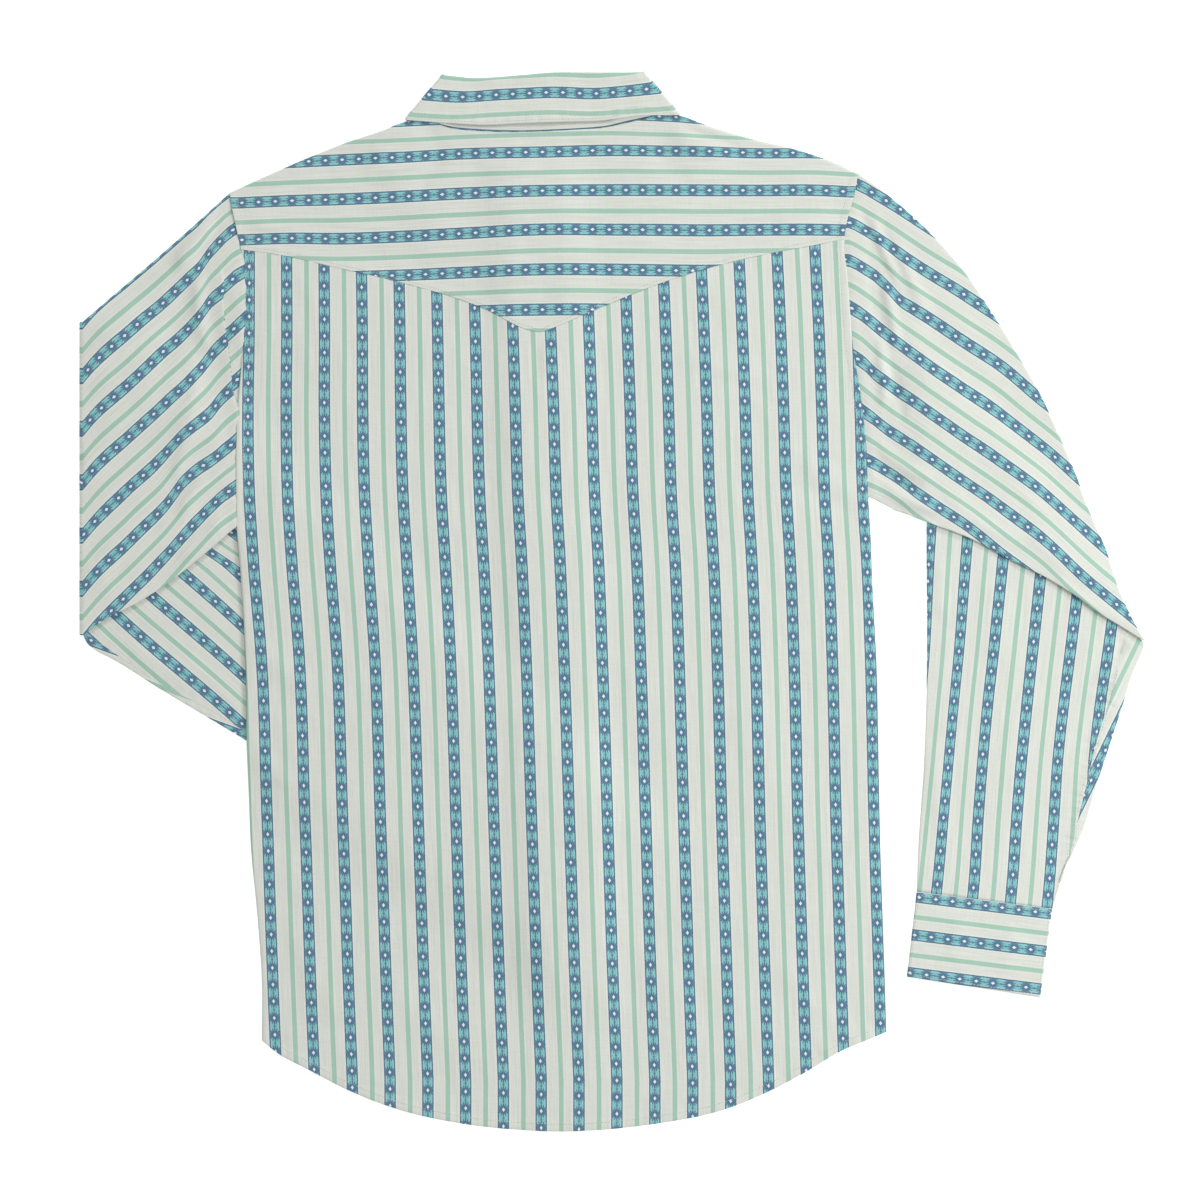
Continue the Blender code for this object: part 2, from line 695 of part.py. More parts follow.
def collar_leaf():
    stations = collar_stations(2)
    foot, fold, climb, outward = collar_frames(stations)
    rows = []
    for share in (0.0, 0.33, 0.67, 1.0):
        flat = foot + share * (fold - foot)
        rows.append((flat, 0.0))
    for turn in (45.0, 90.0):
        rows.append((fold, math.radians(turn)))
    faces = []
    for side in (0.5, -0.5):
        lines = []
        for flat, turn in rows:
            radius = FOLD_RADIUS + side * PLY
            point = np.concatenate([flat, np.full((len(flat), 1), COLLAR_MIDDLE)], axis=1)
            point = point + outward * (LEAF_TURN - FOLD_RADIUS + radius * math.cos(turn))
            lines.append(point + climb * radius * math.sin(turn))
        faces.append(np.stack(lines, axis=1))
    slab("collar_leaf", *faces)


def collar_stand():
    stations = collar_stations(4)
    for order, sign in ((0, 1.0), (-1, -1.0)):
        foot, fold, turn = stations[order]
        passed = STAND_OVERLAP * sign
        end_x = AXIS_TOP[0] + passed
        extra = ((end_x, foot[1]), (end_x, fold[1] + STAND_END_RISE), turn)
        stations.insert(0 if order == 0 else len(stations), extra)
    foot, fold, climb, outward = collar_frames(stations)
    turn = np.array([station[2] for station in stations])
    half = len(stations) // 2
    faces = []
    for side in (0.5, -0.5):
        lines = []
        for share in (0.0, 0.5, 1.0):
            flat = foot + share * (fold - foot) - climb[:, :2] * STAND_TUCK * share
            level = np.full(len(flat), COLLAR_MIDDLE)
            x, y = flat[:, 0], flat[:, 1]
            floors = np.where(np.arange(len(x)) < half, outer_front_floor(x, y), inner_front_floor(x, y))
            level = np.where(turn == 180.0, floors + PLY / 2 + STAND_TURN, level)
            point = np.concatenate([flat, level[:, None]], axis=1)
            lines.append(point + outward * (STAND_TURN + side * PLY))
        faces.append(np.stack(lines, axis=1))
    slab("collar_stand", *faces)


# Sleeves -------------------------------------------------------------------------------------------
UP = np.array([0.0, 0.0, 1.0])
SHARES = np.linspace(0.0, 1.0, SLEEVE_ACROSS)


def inset_ends(row, distance):
    """Moves a row's two end points towards each other by a distance, and respaces the row."""
    row = row.copy()
    for end, beside in ((0, 1), (-1, -2)):
        step = row[beside] - row[end]
        row[end] = row[end] + step / np.linalg.norm(step) * distance
    return row


def sleeve_plan(start, stop, outer, inner, count):
    """Rows of points of a flattened sleeve from its start row to its stop row, between its outer and
    its inner edge, drawn in by the roundness of those edges."""
    rows = np.linspace(0.0, 1.0, count)
    edges = along(outer, rows), along(inner, rows)
    if len(start) != SLEEVE_ACROSS:
        start = along(start, SHARES)
    plan = patch(start, along(stop, SHARES), *edges, SHARES, rows)
    return np.stack([inset_ends(row, SLEEVE_HALF) for row in plan])


def raised(plan, height):
    return np.concatenate([plan, np.broadcast_to(height, plan.shape[:2])[..., None]], axis=-1)


def armhole(end, armpit, shoulder):
    """The sleeve's row of points beside the body's armhole, from the shoulder to the armpit, at the
    heights of the body's own rows."""
    hem, seam = HEM[-end][1], YOKE_SEAM[-end][1]
    rows = hem + np.array(BODY_ROWS[: -ARMHOLE_ROWS - 1 : -1]) * (seam - hem)
    heights = np.concatenate([[shoulder, (shoulder + seam) / 2], rows, [armpit]])
    sides = np.array(BODY_SIDES)
    edge = np.stack([np.interp(heights, sides[:, 0], sides[:, 1 + end]), heights], axis=1)
    return edge + np.array([-SEAM_GAP if end == 0 else SEAM_GAP, 0.0])


def sleeve_left():
    crease = (LEFT_CREASE_TOP, LEFT_CREASE_FOOT)
    start = armhole(0, LEFT_UPPER_INNER[0][1], LEFT_UPPER_OUTER[0][1])
    upper = sleeve_plan(start, crease, LEFT_UPPER_OUTER, LEFT_UPPER_INNER, 8)
    bed = left_forearm_bed(upper[..., 0], upper[..., 1])
    upper = raised(upper, SLEEVE_HALF + SLEEVE_STEP * bed)
    fore_end = (LEFT_FORE_OUTER[-1], LEFT_FORE_INNER[-1])
    fore = sleeve_plan(crease, fore_end, LEFT_FORE_OUTER, LEFT_FORE_INNER, 11)
    fore = raised(fore, SLEEVE_HALF + cuff_rise(fore[..., 0], fore[..., 1], LEFT_CUFF))
    radius = SLEEVE_STEP / 2
    turn = np.radians([0.0, 45.0, 90.0, 135.0, 180.0])[:, None, None]
    around = -np.sin(turn) * np.array([1.0, 0.0, 0.0]) + np.cos(turn) * UP
    axis = upper[-1] - radius * UP
    bend = axis[None] + radius * around
    middle = np.concatenate([upper[:-1], bend, fore[1:]])
    ups = np.broadcast_to(UP, upper[:-1].shape)
    downs = np.broadcast_to(-UP, fore[1:].shape)
    normal = np.concatenate([ups, np.broadcast_to(around, bend.shape), downs])
    outer = rings(middle, normal, SLEEVE_HALF)
    inner = rings(middle, normal, SLEEVE_HALF - PLY)
    tube("sleeve_left", outer, inner)


def sleeve_right_upper():
    """The upper sleeve ends in the fold across the elbow, so its last rows close to a line."""
    start = armhole(1, RIGHT_UPPER_INNER[0][1], RIGHT_UPPER_OUTER[0][1])
    plan = sleeve_plan(start, RIGHT_FOLD, RIGHT_UPPER_OUTER, RIGHT_UPPER_INNER, 12)
    last = plan[-1]
    inward = plan[-2] - last
    inward /= np.linalg.norm(inward, axis=-1, keepdims=True)
    turn = np.radians([90.0, 45.0, 0.0])
    shells = []
    for radius in (SLEEVE_HALF, SLEEVE_HALF - PLY):
        insets = SLEEVE_HALF - radius * np.cos(turn)
        closing = last[None] + inward[None] * insets[:, None, None]
        rows = np.concatenate([plan[:-1], closing])
        halves = np.concatenate([np.full(len(plan) - 1, radius), radius * np.sin(turn)])
        bed = right_forearm_bed(rows[..., 0], rows[..., 1])
        middle = raised(rows, SLEEVE_HALF + SLEEVE_STEP * bed)
        shells.append(rings(middle, np.broadcast_to(UP, middle.shape), halves))
    tube("sleeve_right_upper", *shells, closed_end=True)


def sleeve_right_lower():
    stop = (RIGHT_FORE_OUTER[-1], RIGHT_FORE_INNER[-1])
    plan = sleeve_plan(RIGHT_FORE_START, stop, RIGHT_FORE_OUTER, RIGHT_FORE_INNER, 11)
    flat_tube("sleeve_right_lower", plan, RIGHT_CUFF)


def flat_tube(name, plan, cuff):
    """A tube on the surface, raised by the snaps of its cuff."""
    middle = raised(plan, SLEEVE_HALF + cuff_rise(plan[..., 0], plan[..., 1], cuff))
    normal = np.broadcast_to(UP, middle.shape)
    tube(name, rings(middle, normal, SLEEVE_HALF), rings(middle, normal, SLEEVE_HALF - PLY))


def cuff_piece(name, corners):
    """A cuff from its seam (outer, inner corner) to its free edge (outer, inner corner)."""
    seam, free = corners[:2], corners[2:]
    plan = sleeve_plan(seam, free, (seam[0], free[0]), (seam[1], free[1]), 4)
    flat_tube(name, plan, corners)


# Snaps ---------------------------------------------------------------------------------------------
def snap(name, x, y, floor):
    """A pearl cap with a bevelled rim, just under the lowest cloth round it."""
    turns = np.linspace(0.0, 2 * math.pi, SNAP_SIDES)
    cloth = floor(x + SNAP_RING * np.cos(turns), y + SNAP_RING * np.sin(turns))
    top = max(float(cloth.min()) - SNAP_GAP, SNAP_HEIGHT)
    mesh = bpy.data.meshes.new(name)
    work = bmesh.new()
    bmesh.ops.create_cone(
        work,
        cap_ends=True,
        segments=SNAP_SIDES,
        radius1=SNAP_RADIUS * MM,
        radius2=SNAP_RADIUS * MM,
        depth=SNAP_HEIGHT * MM,
    )
    work.to_mesh(mesh)
    work.free()
    piece = add_object(name, mesh, PEARL)
    piece.location = (x * MM, y * MM, (top - SNAP_HEIGHT / 2) * MM)
    rim = piece.modifiers.new("rim", "BEVEL")
    rim.width = SNAP_BEVEL * MM
    rim.segments = 1
    rim.limit_method = "ANGLE"


def front_snaps():
    for number in range(FRONT_SNAPS):
        y = FIRST_SNAP_Y - number * SNAP_SPACING
        x = AXIS_TOP[0] + AXIS_SLOPE * (y - AXIS_TOP[1])
        snap(f"snap_front_{number + 1}", x, y, outer_front_floor)
    snap("snap_collar", *COLLAR_SNAP, outer_front_floor)


def cuff_snaps(side, corners):
    seam, free = np.mean(corners[:2], axis=0), np.mean(corners[2:], axis=0)
    for number, share in enumerate(CUFF_SNAP_ROWS, 1):
        x, y = seam + share * (free - seam)
        snap(f"snap_cuff_{side}_{number}", x, y, lambda x, y: cuff_rise(x, y, corners))


def main():
    clear_scene()
    back_panel()
    back_yoke()
    front("front_left", 0, LEFT_BAND_COLUMN, 0, LEFT_ARMPIT, outer_front_floor)
    front("front_right", RIGHT_BAND_COLUMN, len(ACROSS) - 1, 1, RIGHT_ARMPIT, inner_front_floor)
    front_band("front_band_left", outer_front_floor)
    front_band("front_band_right", inner_front_floor)
    collar_leaf()
    collar_stand()
    sleeve_left()
    sleeve_right_upper()
    sleeve_right_lower()
    cuff_piece("cuff_left", LEFT_CUFF)
    cuff_piece("cuff_right", RIGHT_CUFF)
    front_snaps()
    cuff_snaps("left", LEFT_CUFF)
    cuff_snaps("right", RIGHT_CUFF)


main()
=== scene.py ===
"""Snap-front western shirt in striped cotton, laid flat with its back up.

+X is the wearer's right, +Y runs from the hem to the collar and +Z is up from the surface that the
shirt lies on. Tables and sizes are in millimetres, and become metres when a mesh is made. Every piece
of cloth is a thin shell over a grid of points, worked out from the garment's outline, the layers that
lie under it and its creases. Each grid also carries how far every point lies across and along the
stripes, which the cloth's material reads.
"""

import math

import bpy
import numpy as np
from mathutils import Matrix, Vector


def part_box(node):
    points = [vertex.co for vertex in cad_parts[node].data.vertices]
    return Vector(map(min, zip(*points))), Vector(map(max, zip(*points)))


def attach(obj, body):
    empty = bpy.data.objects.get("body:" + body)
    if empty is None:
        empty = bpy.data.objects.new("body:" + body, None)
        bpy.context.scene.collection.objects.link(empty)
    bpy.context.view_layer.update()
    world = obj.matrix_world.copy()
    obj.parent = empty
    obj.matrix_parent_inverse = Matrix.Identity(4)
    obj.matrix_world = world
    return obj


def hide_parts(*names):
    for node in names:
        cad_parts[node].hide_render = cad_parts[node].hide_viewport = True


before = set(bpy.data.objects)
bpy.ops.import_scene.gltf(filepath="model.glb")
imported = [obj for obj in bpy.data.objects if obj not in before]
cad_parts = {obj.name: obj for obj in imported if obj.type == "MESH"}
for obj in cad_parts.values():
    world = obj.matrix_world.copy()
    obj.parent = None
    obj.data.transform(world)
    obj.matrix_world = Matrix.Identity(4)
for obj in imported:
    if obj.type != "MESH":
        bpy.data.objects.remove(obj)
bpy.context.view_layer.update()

MM = 0.001

# Cloth and clearances ---------------------------------
PLY = 1.0  # room that one ply takes
GAP = 0.3
LAYER = PLY + GAP
SHELL = 0.55  # thickness of the cloth itself
CUFF_SHELL = 0.8
FLOOR_ROOM = SHELL + 0.05  # the outer face of the body stays this high, so its other face clears the floor
LIP = 0.5  # radius of a plain turned edge
ROLL = PLY + LAYER  # radius of the body's edges, which are folded over the fronts
HEM_ROLL, HEM_DROP = 1.1, 1.7  # how far the hem's turned edge reaches inwards and down
SLEEVE_HALF = 1.25  # a flattened sleeve reaches this far up and down from its middle
SLEEVE_STEP = 3.5  # a sleeve lifts what lies on it by this much
NECK_STEP = 1.9  # and the collar lifts the yoke by this much
FRONT_INSET, HEM_INSET = 2.8, 3.0  # the fronts stay this far inside the back's edges and its hem
SEAM_GAP = 0.45  # between the body's edge and the sleeve sewn to it

# Stripes of the cloth ---------------------------------
PITCH = 30.4  # from one blue band to the next
BAND = 9.2  # width of a blue band
BAND_LINE = 0.95  # dark line along each of its edges
MOTIF = 13.35  # from one star to the next
GREEN = 3.8
GREEN_SHIFT = 0.9  # the green stripe lies this far past the middle between two bands

# Snaps and placket ------------------------------------
SNAP_LIFT = 2.1  # a snap lifts the cloth over it by this much
AXIS_TOP, AXIS_SLOPE = (-57.5, 216), -0.043  # the line down the middle of the front bands
BAND_PLATEAU, BAND_FADE = 18.0, 34.0  # flat to this far from that line, and back down within so much
LAST_SNAP_FADE = (-355, -305)  # between these heights the snaps' lift starts
NECK_FADE = (332, 372)  # and between these the bands end

# Body outline: height on the shirt, then the x of its left and right edges
BODY_SIDES = (
    # y, left, right
    (-351, -281, 219.2),
    (-302, -281, 218),
    (-246, -285, 216),
    (-198, -289.5, 214.3),
    (-150, -291.5, 213.5),
    (-110, -293, 212.8),
    (-60, -293.5, 212),
    (-22, -295, 209.6),
    (18, -297.5, 207.4),
    (58, -300.5, 206),
    (84, -301, 204),
    (122, -301, 202.6),
    (162, -299.5, 198.5),
    (206, -295.5, 191.6),
    (240, -293.6, 189),
    (262, -294.6, 187.3),
    (283, -297.6, 184.9),
    (300, -301.5, 186.6),
    (327, -306.4, 193.4),
    (342, -306.4, 196),
)

HEM = (
    # x, y
    (-281, -351), (-270, -360), (-243, -374.8), (-212, -390.8), (-170, -406.8),
    (-122, -417.4), (-71, -422.8), (-42, -423.8), (-14, -422.8), (38, -417.2), (88, -406.8),
    (127, -390.8), (157, -374.8), (184, -358.8), (204, -350.5), (219.2, -344),
)

YOKE_SEAM = (
    # x, y
    (-297.6, 282.6), (-264.8, 278), (-225, 269), (-164, 254.8), (-105.6, 236.4),
    (-66, 217.6), (-58, 216), (-52, 218.2), (-13.6, 234.8), (35.5, 254.8), (90.4, 271.6),
    (164, 286.8), (184.9, 291),
)
YOKE_TIP = 6  # the row of the table above that is the yoke's point

# Places across the body, as fractions, with the point of the fronts' top edge and of the yoke's top
# edge that each one ends at
BODY_COLUMNS = (
    # across, front x, front y, yoke x, yoke y
    (0.000, -306.4, 327, -306.4, 327),
    (0.050, -279, 339.5, -279, 339.5),
    (0.110, -246, 354, -246, 354),
    (0.170, -214, 366.8, -214, 366.8),
    (0.230, -184, 376.8, -184, 376.8),
    (0.262, -168.5, 380.3, -168.3, 382.9),
    (0.290, -154, 383, -153, 386),
    (0.335, -143.6, 352.2, -130, 378.4),
    (0.375, -127.5, 332, -109, 376.2),
    (0.410, -107, 317, -91, 375.2),
    (0.440, -82.6, 306.5, -76, 375.2),
    (0.464, -73.4, 304, -66, 375.5),
    (0.4965, -57, 304, -54, 375.8),
    (0.529, -40.6, 304, -38, 376.7),
    (0.553, -31.4, 306.5, -26, 377.4),
    (0.583, -7, 317, -10, 378.4),
    (0.618, 13.5, 332, 6, 381.4),
    (0.658, 29.6, 352.2, 22, 385.2),
    (0.703, 42, 387.6, 41, 390.4),
    (0.728, 55.7, 384.6, 55.9, 388),
    (0.745, 65.1, 382.5, 65.3, 384.5),
    (0.763, 75, 380.3, 75, 381),
    (0.823, 110, 370.3, 110, 370.3),
    (0.883, 147, 361.3, 147, 361.3),
    (0.943, 178, 350.8, 178, 350.8),
    (1.000, 196, 342, 196, 342),
)
LEFT_BAND_EDGE, RIGHT_BAND_EDGE = 0.464, 0.529  # edges of the front bands, across the body
LEFT_NECK, RIGHT_NECK = 0.290, 0.703  # the shoulders end and the collar starts here
LEFT_ARMPIT, RIGHT_ARMPIT = 60.0, 84.0  # the armholes end here, and the folded side edges start
ARMPIT_FADE = 25.0
LEFT_SHOULDER, RIGHT_SHOULDER = 326.5, 342.0  # heights at which the armholes start

COLLAR_LEFT = (
    # fold x, fold y, edge x, edge y, seam x, seam y
    (-60, 329, -105, 267, -57, 304.4),
    (-80, 339, -116, 288, -82, 307.5),
    (-100, 353, -129, 311, -106, 318),
    (-117, 374, -143, 338, -126, 333),
    (-128, 396, -155, 362, -142, 353),
    (-135.5, 419.5, -165, 384.5, -152.5, 386),
)
COLLAR_BACK = (
    # fold x, fold y, edge x, edge y, seam x, seam y
    (-135.5, 419.5, -165, 384.5, -152.5, 386),
    (-113, 416.9, -131, 382.2, -130, 379.4),
    (-94.6, 417.4, -104, 380.8, -104, 377),
    (-70, 419.4, -77, 382, -77, 376.2),
    (-44, 421.4, -49, 383, -49, 376.9),
    (-10, 421.4, -10, 384.2, -10, 379.3),
    (10, 421.2, 20, 388, 12, 384),
    (24, 421.8, 52.2, 388.5, 40.5, 390),
)
COLLAR_RIGHT = (
    # fold x, fold y, edge x, edge y, seam x, seam y
    (24, 421.8, 52.2, 388.5, 40.5, 390),
    (16, 396, 42, 364, 29, 353),
    (5, 374, 30, 338, 13, 333),
    (-12, 353, 16, 311, -7, 318),
    (-32, 339, 4, 288, -31, 307.5),
    (-52, 329, -7, 267, -57, 304.4),
)
COLLAR_SEAM, COLLAR_EDGE = 4, 2  # the columns where the tables hold the seam and the leaf's edge
STAND_OVERLAP = 16.0  # the stand's ends pass the middle line by this much
STAND_END_RISE = 0.5
COLLAR_MIDDLE = 2.75  # height about which the collar turns over at the sides of the neck
LEAF_TURN, STAND_TURN = 2.25, 0.95  # distance of the leaf's and the stand's middle from that height
FOLD_RADIUS = 1.3
LEFT_WING = (-148, 395, -88, 302)  # lines down the middle of the collar's points
RIGHT_WING = (38, 395, -22, 302)
NECK_SPINE = (-140, 385, 30, 388)  # and along the back of the neck
WING_RADIUS, WING_FADE = 42.0, 40.0
NECK_RADIUS, NECK_SPREAD = 15.0, 60.0

LEFT_CREASE = -423.6  # x of the crease where the left sleeve is folded under
LEFT_CREASE_TOP = (LEFT_CREASE, 223.6)
LEFT_CREASE_FOOT = (LEFT_CREASE, -27)
LEFT_UPPER_OUTER = ((-306.7, 326.5), (-337, 299), (-370, 270), (-401, 243.5), LEFT_CREASE_TOP)
LEFT_UPPER_INNER = (
    (-301, 59.5), (-332.2, 32.8), (-356, 14.2), (-381.6, -2), (-407.5, -15.1),
    LEFT_CREASE_FOOT,
)
LEFT_FORE_OUTER = (LEFT_CREASE_TOP, (-400, 200), (-37, -145))
LEFT_FORE_INNER = (
    LEFT_CREASE_FOOT,
    (-420.8, -33), (-413.6, -39.2), (-402, -45.2), (-360.8, -70.8), (-307.2, -102.8),
    (-107, -229),
)
LEFT_CUFF = ((-36.8, -145.3), (-106.8, -229.3), (15.0, -187.0), (-55.0, -271.0))

RIGHT_UPPER_OUTER = (
    (196.3, 342), (214.4, 329.2), (251.2, 297.2), (280, 265.2), (301.6, 233.2),
    (321.6, 201.2), (340, 169.2), (355.2, 137.2), (368.8, 105.2), (380.8, 73.2),
    (394.4, 41.2), (404.8, 9.2), (420, -22.8), (426, -32.6),
)
RIGHT_FOLD = (
    (426, -32.6), (408.5, -21.6), (391.2, -11.2), (368.6, 5.2), (346, 19.1), (321.6, 31.3),
    (285.3, 50.4), (250.4, 63.6), (224, 73.9),
)
RIGHT_UPPER_INNER = ((204.6, 83.4), (224, 73.9))
RIGHT_FORE_START = ((425, -33.5), (253, 172))
RIGHT_FORE_OUTER = (
    (425, -33.5), (423.6, -39), (416.8, -54.8), (406.4, -86.8), (396, -118.8),
    (385.6, -150.8), (376, -182.8), (361.5, -214.8), (351.6, -245.6),
)
RIGHT_FORE_INNER = (
    (253, 172), (250.8, 57.2), (251.2, -38.8), (250.4, -86.8), (248.8, -126.8),
    (244, -198.8), (242.8, -232),
)
RIGHT_CUFF = ((351.2, -246), (242.6, -232.5), (341.6, -316.4), (234.9, -299.8))
CUFF_PLATEAU, CUFF_FADE = 40.0, 75.0  # flat over a cuff, and back down within so much
BED_FADE, ELBOW_FADE = 55.0, 38.0  # the same for the cloth over the left and the right forearm

# Where the blue bands run -----------------------------
# Each row is a place along the stripes with the places across them of some numbered bands.
BACK_NUMBERS = (1, 9, 17)
BACK_STRIPES = (
    # y, x of bands 1, 9 and 17
    (-382.8, -268.8, -27.2, 215.4),
    (-302.8, -272, -30.4, 212.8),
    (-174.8, -276.4, -34.8, 208.8),
    (-46.8, -280.8, -39.2, 206),
    (33, -287.4, -42.4, 203),
    (81.2, -290.4, -45.2, 200),
    (161, -291.8, -47.8, 197.4),
    (209.2, -291, -49.6, 195.6),
    (290, -290.8, -52.6, 191.6),
)
YOKE_NUMBERS = (0, 1, 2, 3, 4)
YOKE_STRIPES = (
    # x, y of bands 0 to 4 from the neck down
    (-300, 379, 349, 318.6, 289, 259),
    (-258.4, 380.5, 351.2, 320.4, 290.4, 260.4),
    (-218.4, 382.5, 353.2, 321.6, 290, 259.6),
    (-170.4, 383.5, 355.2, 323.6, 291.6, 260.8),
    (-122.4, 386, 358, 326, 294, 262.8),
    (-57.6, 389, 359.2, 328, 297.2, 265.2),
    (5.6, 389.2, 360.8, 328.8, 297.2, 265.2),
    (27.2, 388.2, 360.5, 328.8, 297.1, 264.9),
    (53.9, 386.8, 360.2, 328.8, 296.9, 264.6),
    (69.6, 385.2, 360, 328.8, 296.8, 264.4),
    (117.6, 383, 358.8, 328.8, 297.2, 265.6),
    (165.6, 383, 358.6, 328.8, 297.2, 265.8),
    (190, 383, 357, 327.6, 296.8, 265.8),
)
LEFT_SLEEVE_NUMBERS = (0, 1, 2, 3, 4, 5, 6, 7)
LEFT_SLEEVE_STRIPES = (
    # x, y of bands 0 to 7 from the shoulder down
    (-423.6, 224, 180, 138, 95.2, 52.6, 10.2, -32.6, -76),
    (-416.8, 232, 188, 146.2, 103.4, 60.8, 18.4, -24.4, -68),
    (-386.4, 259.2, 215.7, 174, 131.9, 91, 47.8, 6.8, -36),
    (-358.4, 283.2, 239.8, 200.9, 157.4, 117.2, 75.6, 35.3, -8),
    (-342.4, 297, 255.2, 215.2, 172, 134, 96.8, 53.4, 10),
    (-330.4, 307, 267.2, 228.2, 185.1, 143.4, 106.8, 66.4, 23),
    (-322.4, 315, 279, 239.8, 195.6, 150, 111.6, 74.8, 32),
    (-314.4, 322, 288, 247.4, 205.2, 160.6, 117.2, 82.6, 40),
    (-302.4, 333, 299.4, 259.2, 218.6, 175.6, 128.4, 92.8, 50),
    (-295.2, 339, 303.6, 264.4, 227.4, 185.2, 138, 101, 58),
)
LEFT_FOREARM_NUMBERS = (1, 2, 4, 5, 6)
LEFT_FOREARM_STRIPES = (
    # x, y of bands 1, 2 and 4 to 6
    (-423.6, 160, 132.2, 53.4, 13.8, -26.4),
    (-386.4, 126.6, 98.6, 19.8, -20.2, -60.4),
    (-306.4, 56, 29, -49.6, -88.8, -128.8),
    (0, -208.2, -236.2, -314.6, -353.8, -393.6),
)
RIGHT_SLEEVE_NUMBERS = (1, 2, 3, 4, 5, 6, 7)
RIGHT_SLEEVE_STRIPES = (
    # x, y of bands 1 to 7 from the shoulder down
    (189.6, 338, 303.2, 273.4, 236.4, 199.6, 161.2, 124.4),
    (199.2, 332, 297.8, 267.8, 229.2, 192, 154, 117.2),
    (210.4, 325.2, 291.2, 260.6, 220.2, 180.9, 144.4, 109.6),
    (220, 319.6, 284.9, 251.2, 212.7, 174, 136.6, 103.6),
    (229.6, 313.7, 278, 240.6, 205.5, 167.1, 130.4, 97.2),
    (240.8, 306.4, 270.3, 233.6, 197, 159.6, 123.2, 88.4),
    (253.6, 298, 262, 225.8, 187.4, 150.4, 114.4, 79.6),
    (277.6, 283.6, 247.6, 209.6, 171.2, 133.6, 97.6, 64),
    (309.6, 262.8, 226.4, 188.8, 149.6, 112, 75.6, 38.8),
    (341.6, 238, 201.2, 161.6, 125.2, 88.8, 51.6, 14.8),
    (373.6, 210.8, 174, 135.6, 97.2, 60.4, 21.6, -14.8),
    (429.6, 163.6, 126.8, 88.4, 50, 13.2, -25.2, -62),
)
RIGHT_FOREARM_NUMBERS = (1, 2, 3, 4)
RIGHT_FOREARM_STRIPES = (
    # y, x of bands 1 to 4 from the body outwards
    (-320, 248, 276.8, 308.4, 338),
    (-214.8, 260.4, 289.2, 320, 349.6),
    (-174.8, 264, 291.6, 322.8, 352.4),
    (-126.8, 268.4, 295.2, 326.8, 355.6),
    (-78.8, 272.8, 299.6, 331.6, 360.8),
    (-46.8, 276, 303.2, 334.8, 364.8),
    (33.2, 282.1, 311.6, 343.2, 374.4),
    (120, 289, 319.6, 351.6, 383.4),
)
# The sleeve's seam runs down the forearm and the stripes beyond it slant more
RIGHT_SEAM = (
    # x, y
    (409.5, -28), (405.2, -43), (401.9, -55.6), (396.6, -80.1), (390.7, -98.4),
    (384.6, -119.8), (380.5, -138.2), (375.9, -156.6), (370.6, -179.5), (364.4, -206.8),
    (357, -240),
)
SEAM_SLANT = math.radians(25.8)
SEAM_HALF = 0.12  # the stripes change within this distance of the seam
SEAM_BAND = (399.6, -106.9)  # a point on the blue band beyond the seam
LEFT_SEAM = (
    (-420, -27), (-404, -37.5), (-386, -50), (-362, -65.5), (-336, -79.5), (-309, -94.5),
    (-290, -107), (-107, -223),
)
LEFT_SLIVER = (-360, -69)  # a point on the green stripe beyond the left forearm's seam
LEFT_SLIVER_SLANT = math.radians(-20.0)
LEFT_PLEAT = (
    # a small pleat beside the left armhole, which hides a little of the cloth
    (-311.6, 262), (-312.2, 232.6), (-309.8, 213.4), (-306.6, 186.4), (-304.6, 166.4),
    (-299.8, 146),
)
PLEAT_LAP = 1.7  # each side of the pleat slides this far over or under the other
CUFF_BAND_START = 3.6  # from the cuff's seam to its first blue band
LEAF_BANDS = (
    # x at the neck's back, distance of the blue band below the fold
    (-135.5, 14.6), (-113, 13.8), (-94.6, 12.9), (-70, 13.6), (-44, 14.6), (-10, 15.4),
    (10, 13.2), (24, 11.6),
)


# Small mathematics ------------------------------------
def smooth(value):
    """0 below 0, 1 above 1 and 3v^2 - 2v^3 between them."""
    value = np.clip(value, 0.0, 1.0)
    return value * value * (3.0 - 2.0 * value)


def eased(x, stations, values):
    """A cubic curve through the values at rising stations, whose slope at each one is that of the
    parabola through it and its neighbours, and straight beyond the ends. values may hold a column
    for each x."""
    x = np.asarray(x, float)
    flat = x.ravel()
    stations = np.asarray(stations, float)
    values = np.asarray(values, float).reshape(len(stations), -1)
    values = np.broadcast_to(values, (len(stations), max(values.shape[1], flat.size)))[:, : flat.size]
    run = np.diff(stations)[:, None]
    climb = np.diff(values, axis=0) / run
    inner = (run[1:] * climb[:-1] + run[:-1] * climb[1:]) / (run[1:] + run[:-1])
    slope = np.concatenate([climb[:1], inner, climb[-1:]])
    at = np.clip(np.searchsorted(stations, flat) - 1, 0, len(run) - 1)
    each = np.arange(flat.size)
    width = run[at, 0]
    share = (flat - stations[at]) / width
    part = np.clip(share, 0.0, 1.0)
    rest = 1.0 - part
    before, after = values[at, each], values[at + 1, each]
    curve = before * (1 + 2 * part) * rest**2 + after * (3 - 2 * part) * part**2
    curve = curve + width * (slope[at, each] * part * rest**2 - slope[at + 1, each] * part**2 * rest)
    beyond_last = np.where(share > 1, (share - 1) * slope[-1, each], 0)
    past_ends = np.where(share < 0, share * slope[0, each], beyond_last)
    return (curve + past_ends * width).reshape(x.shape)


def shelf(away, height, flat, fade):
    """height out to the distance flat, then down to nothing within fade, in the shape of smooth."""
    return height * (1 - smooth((away - flat) / fade))


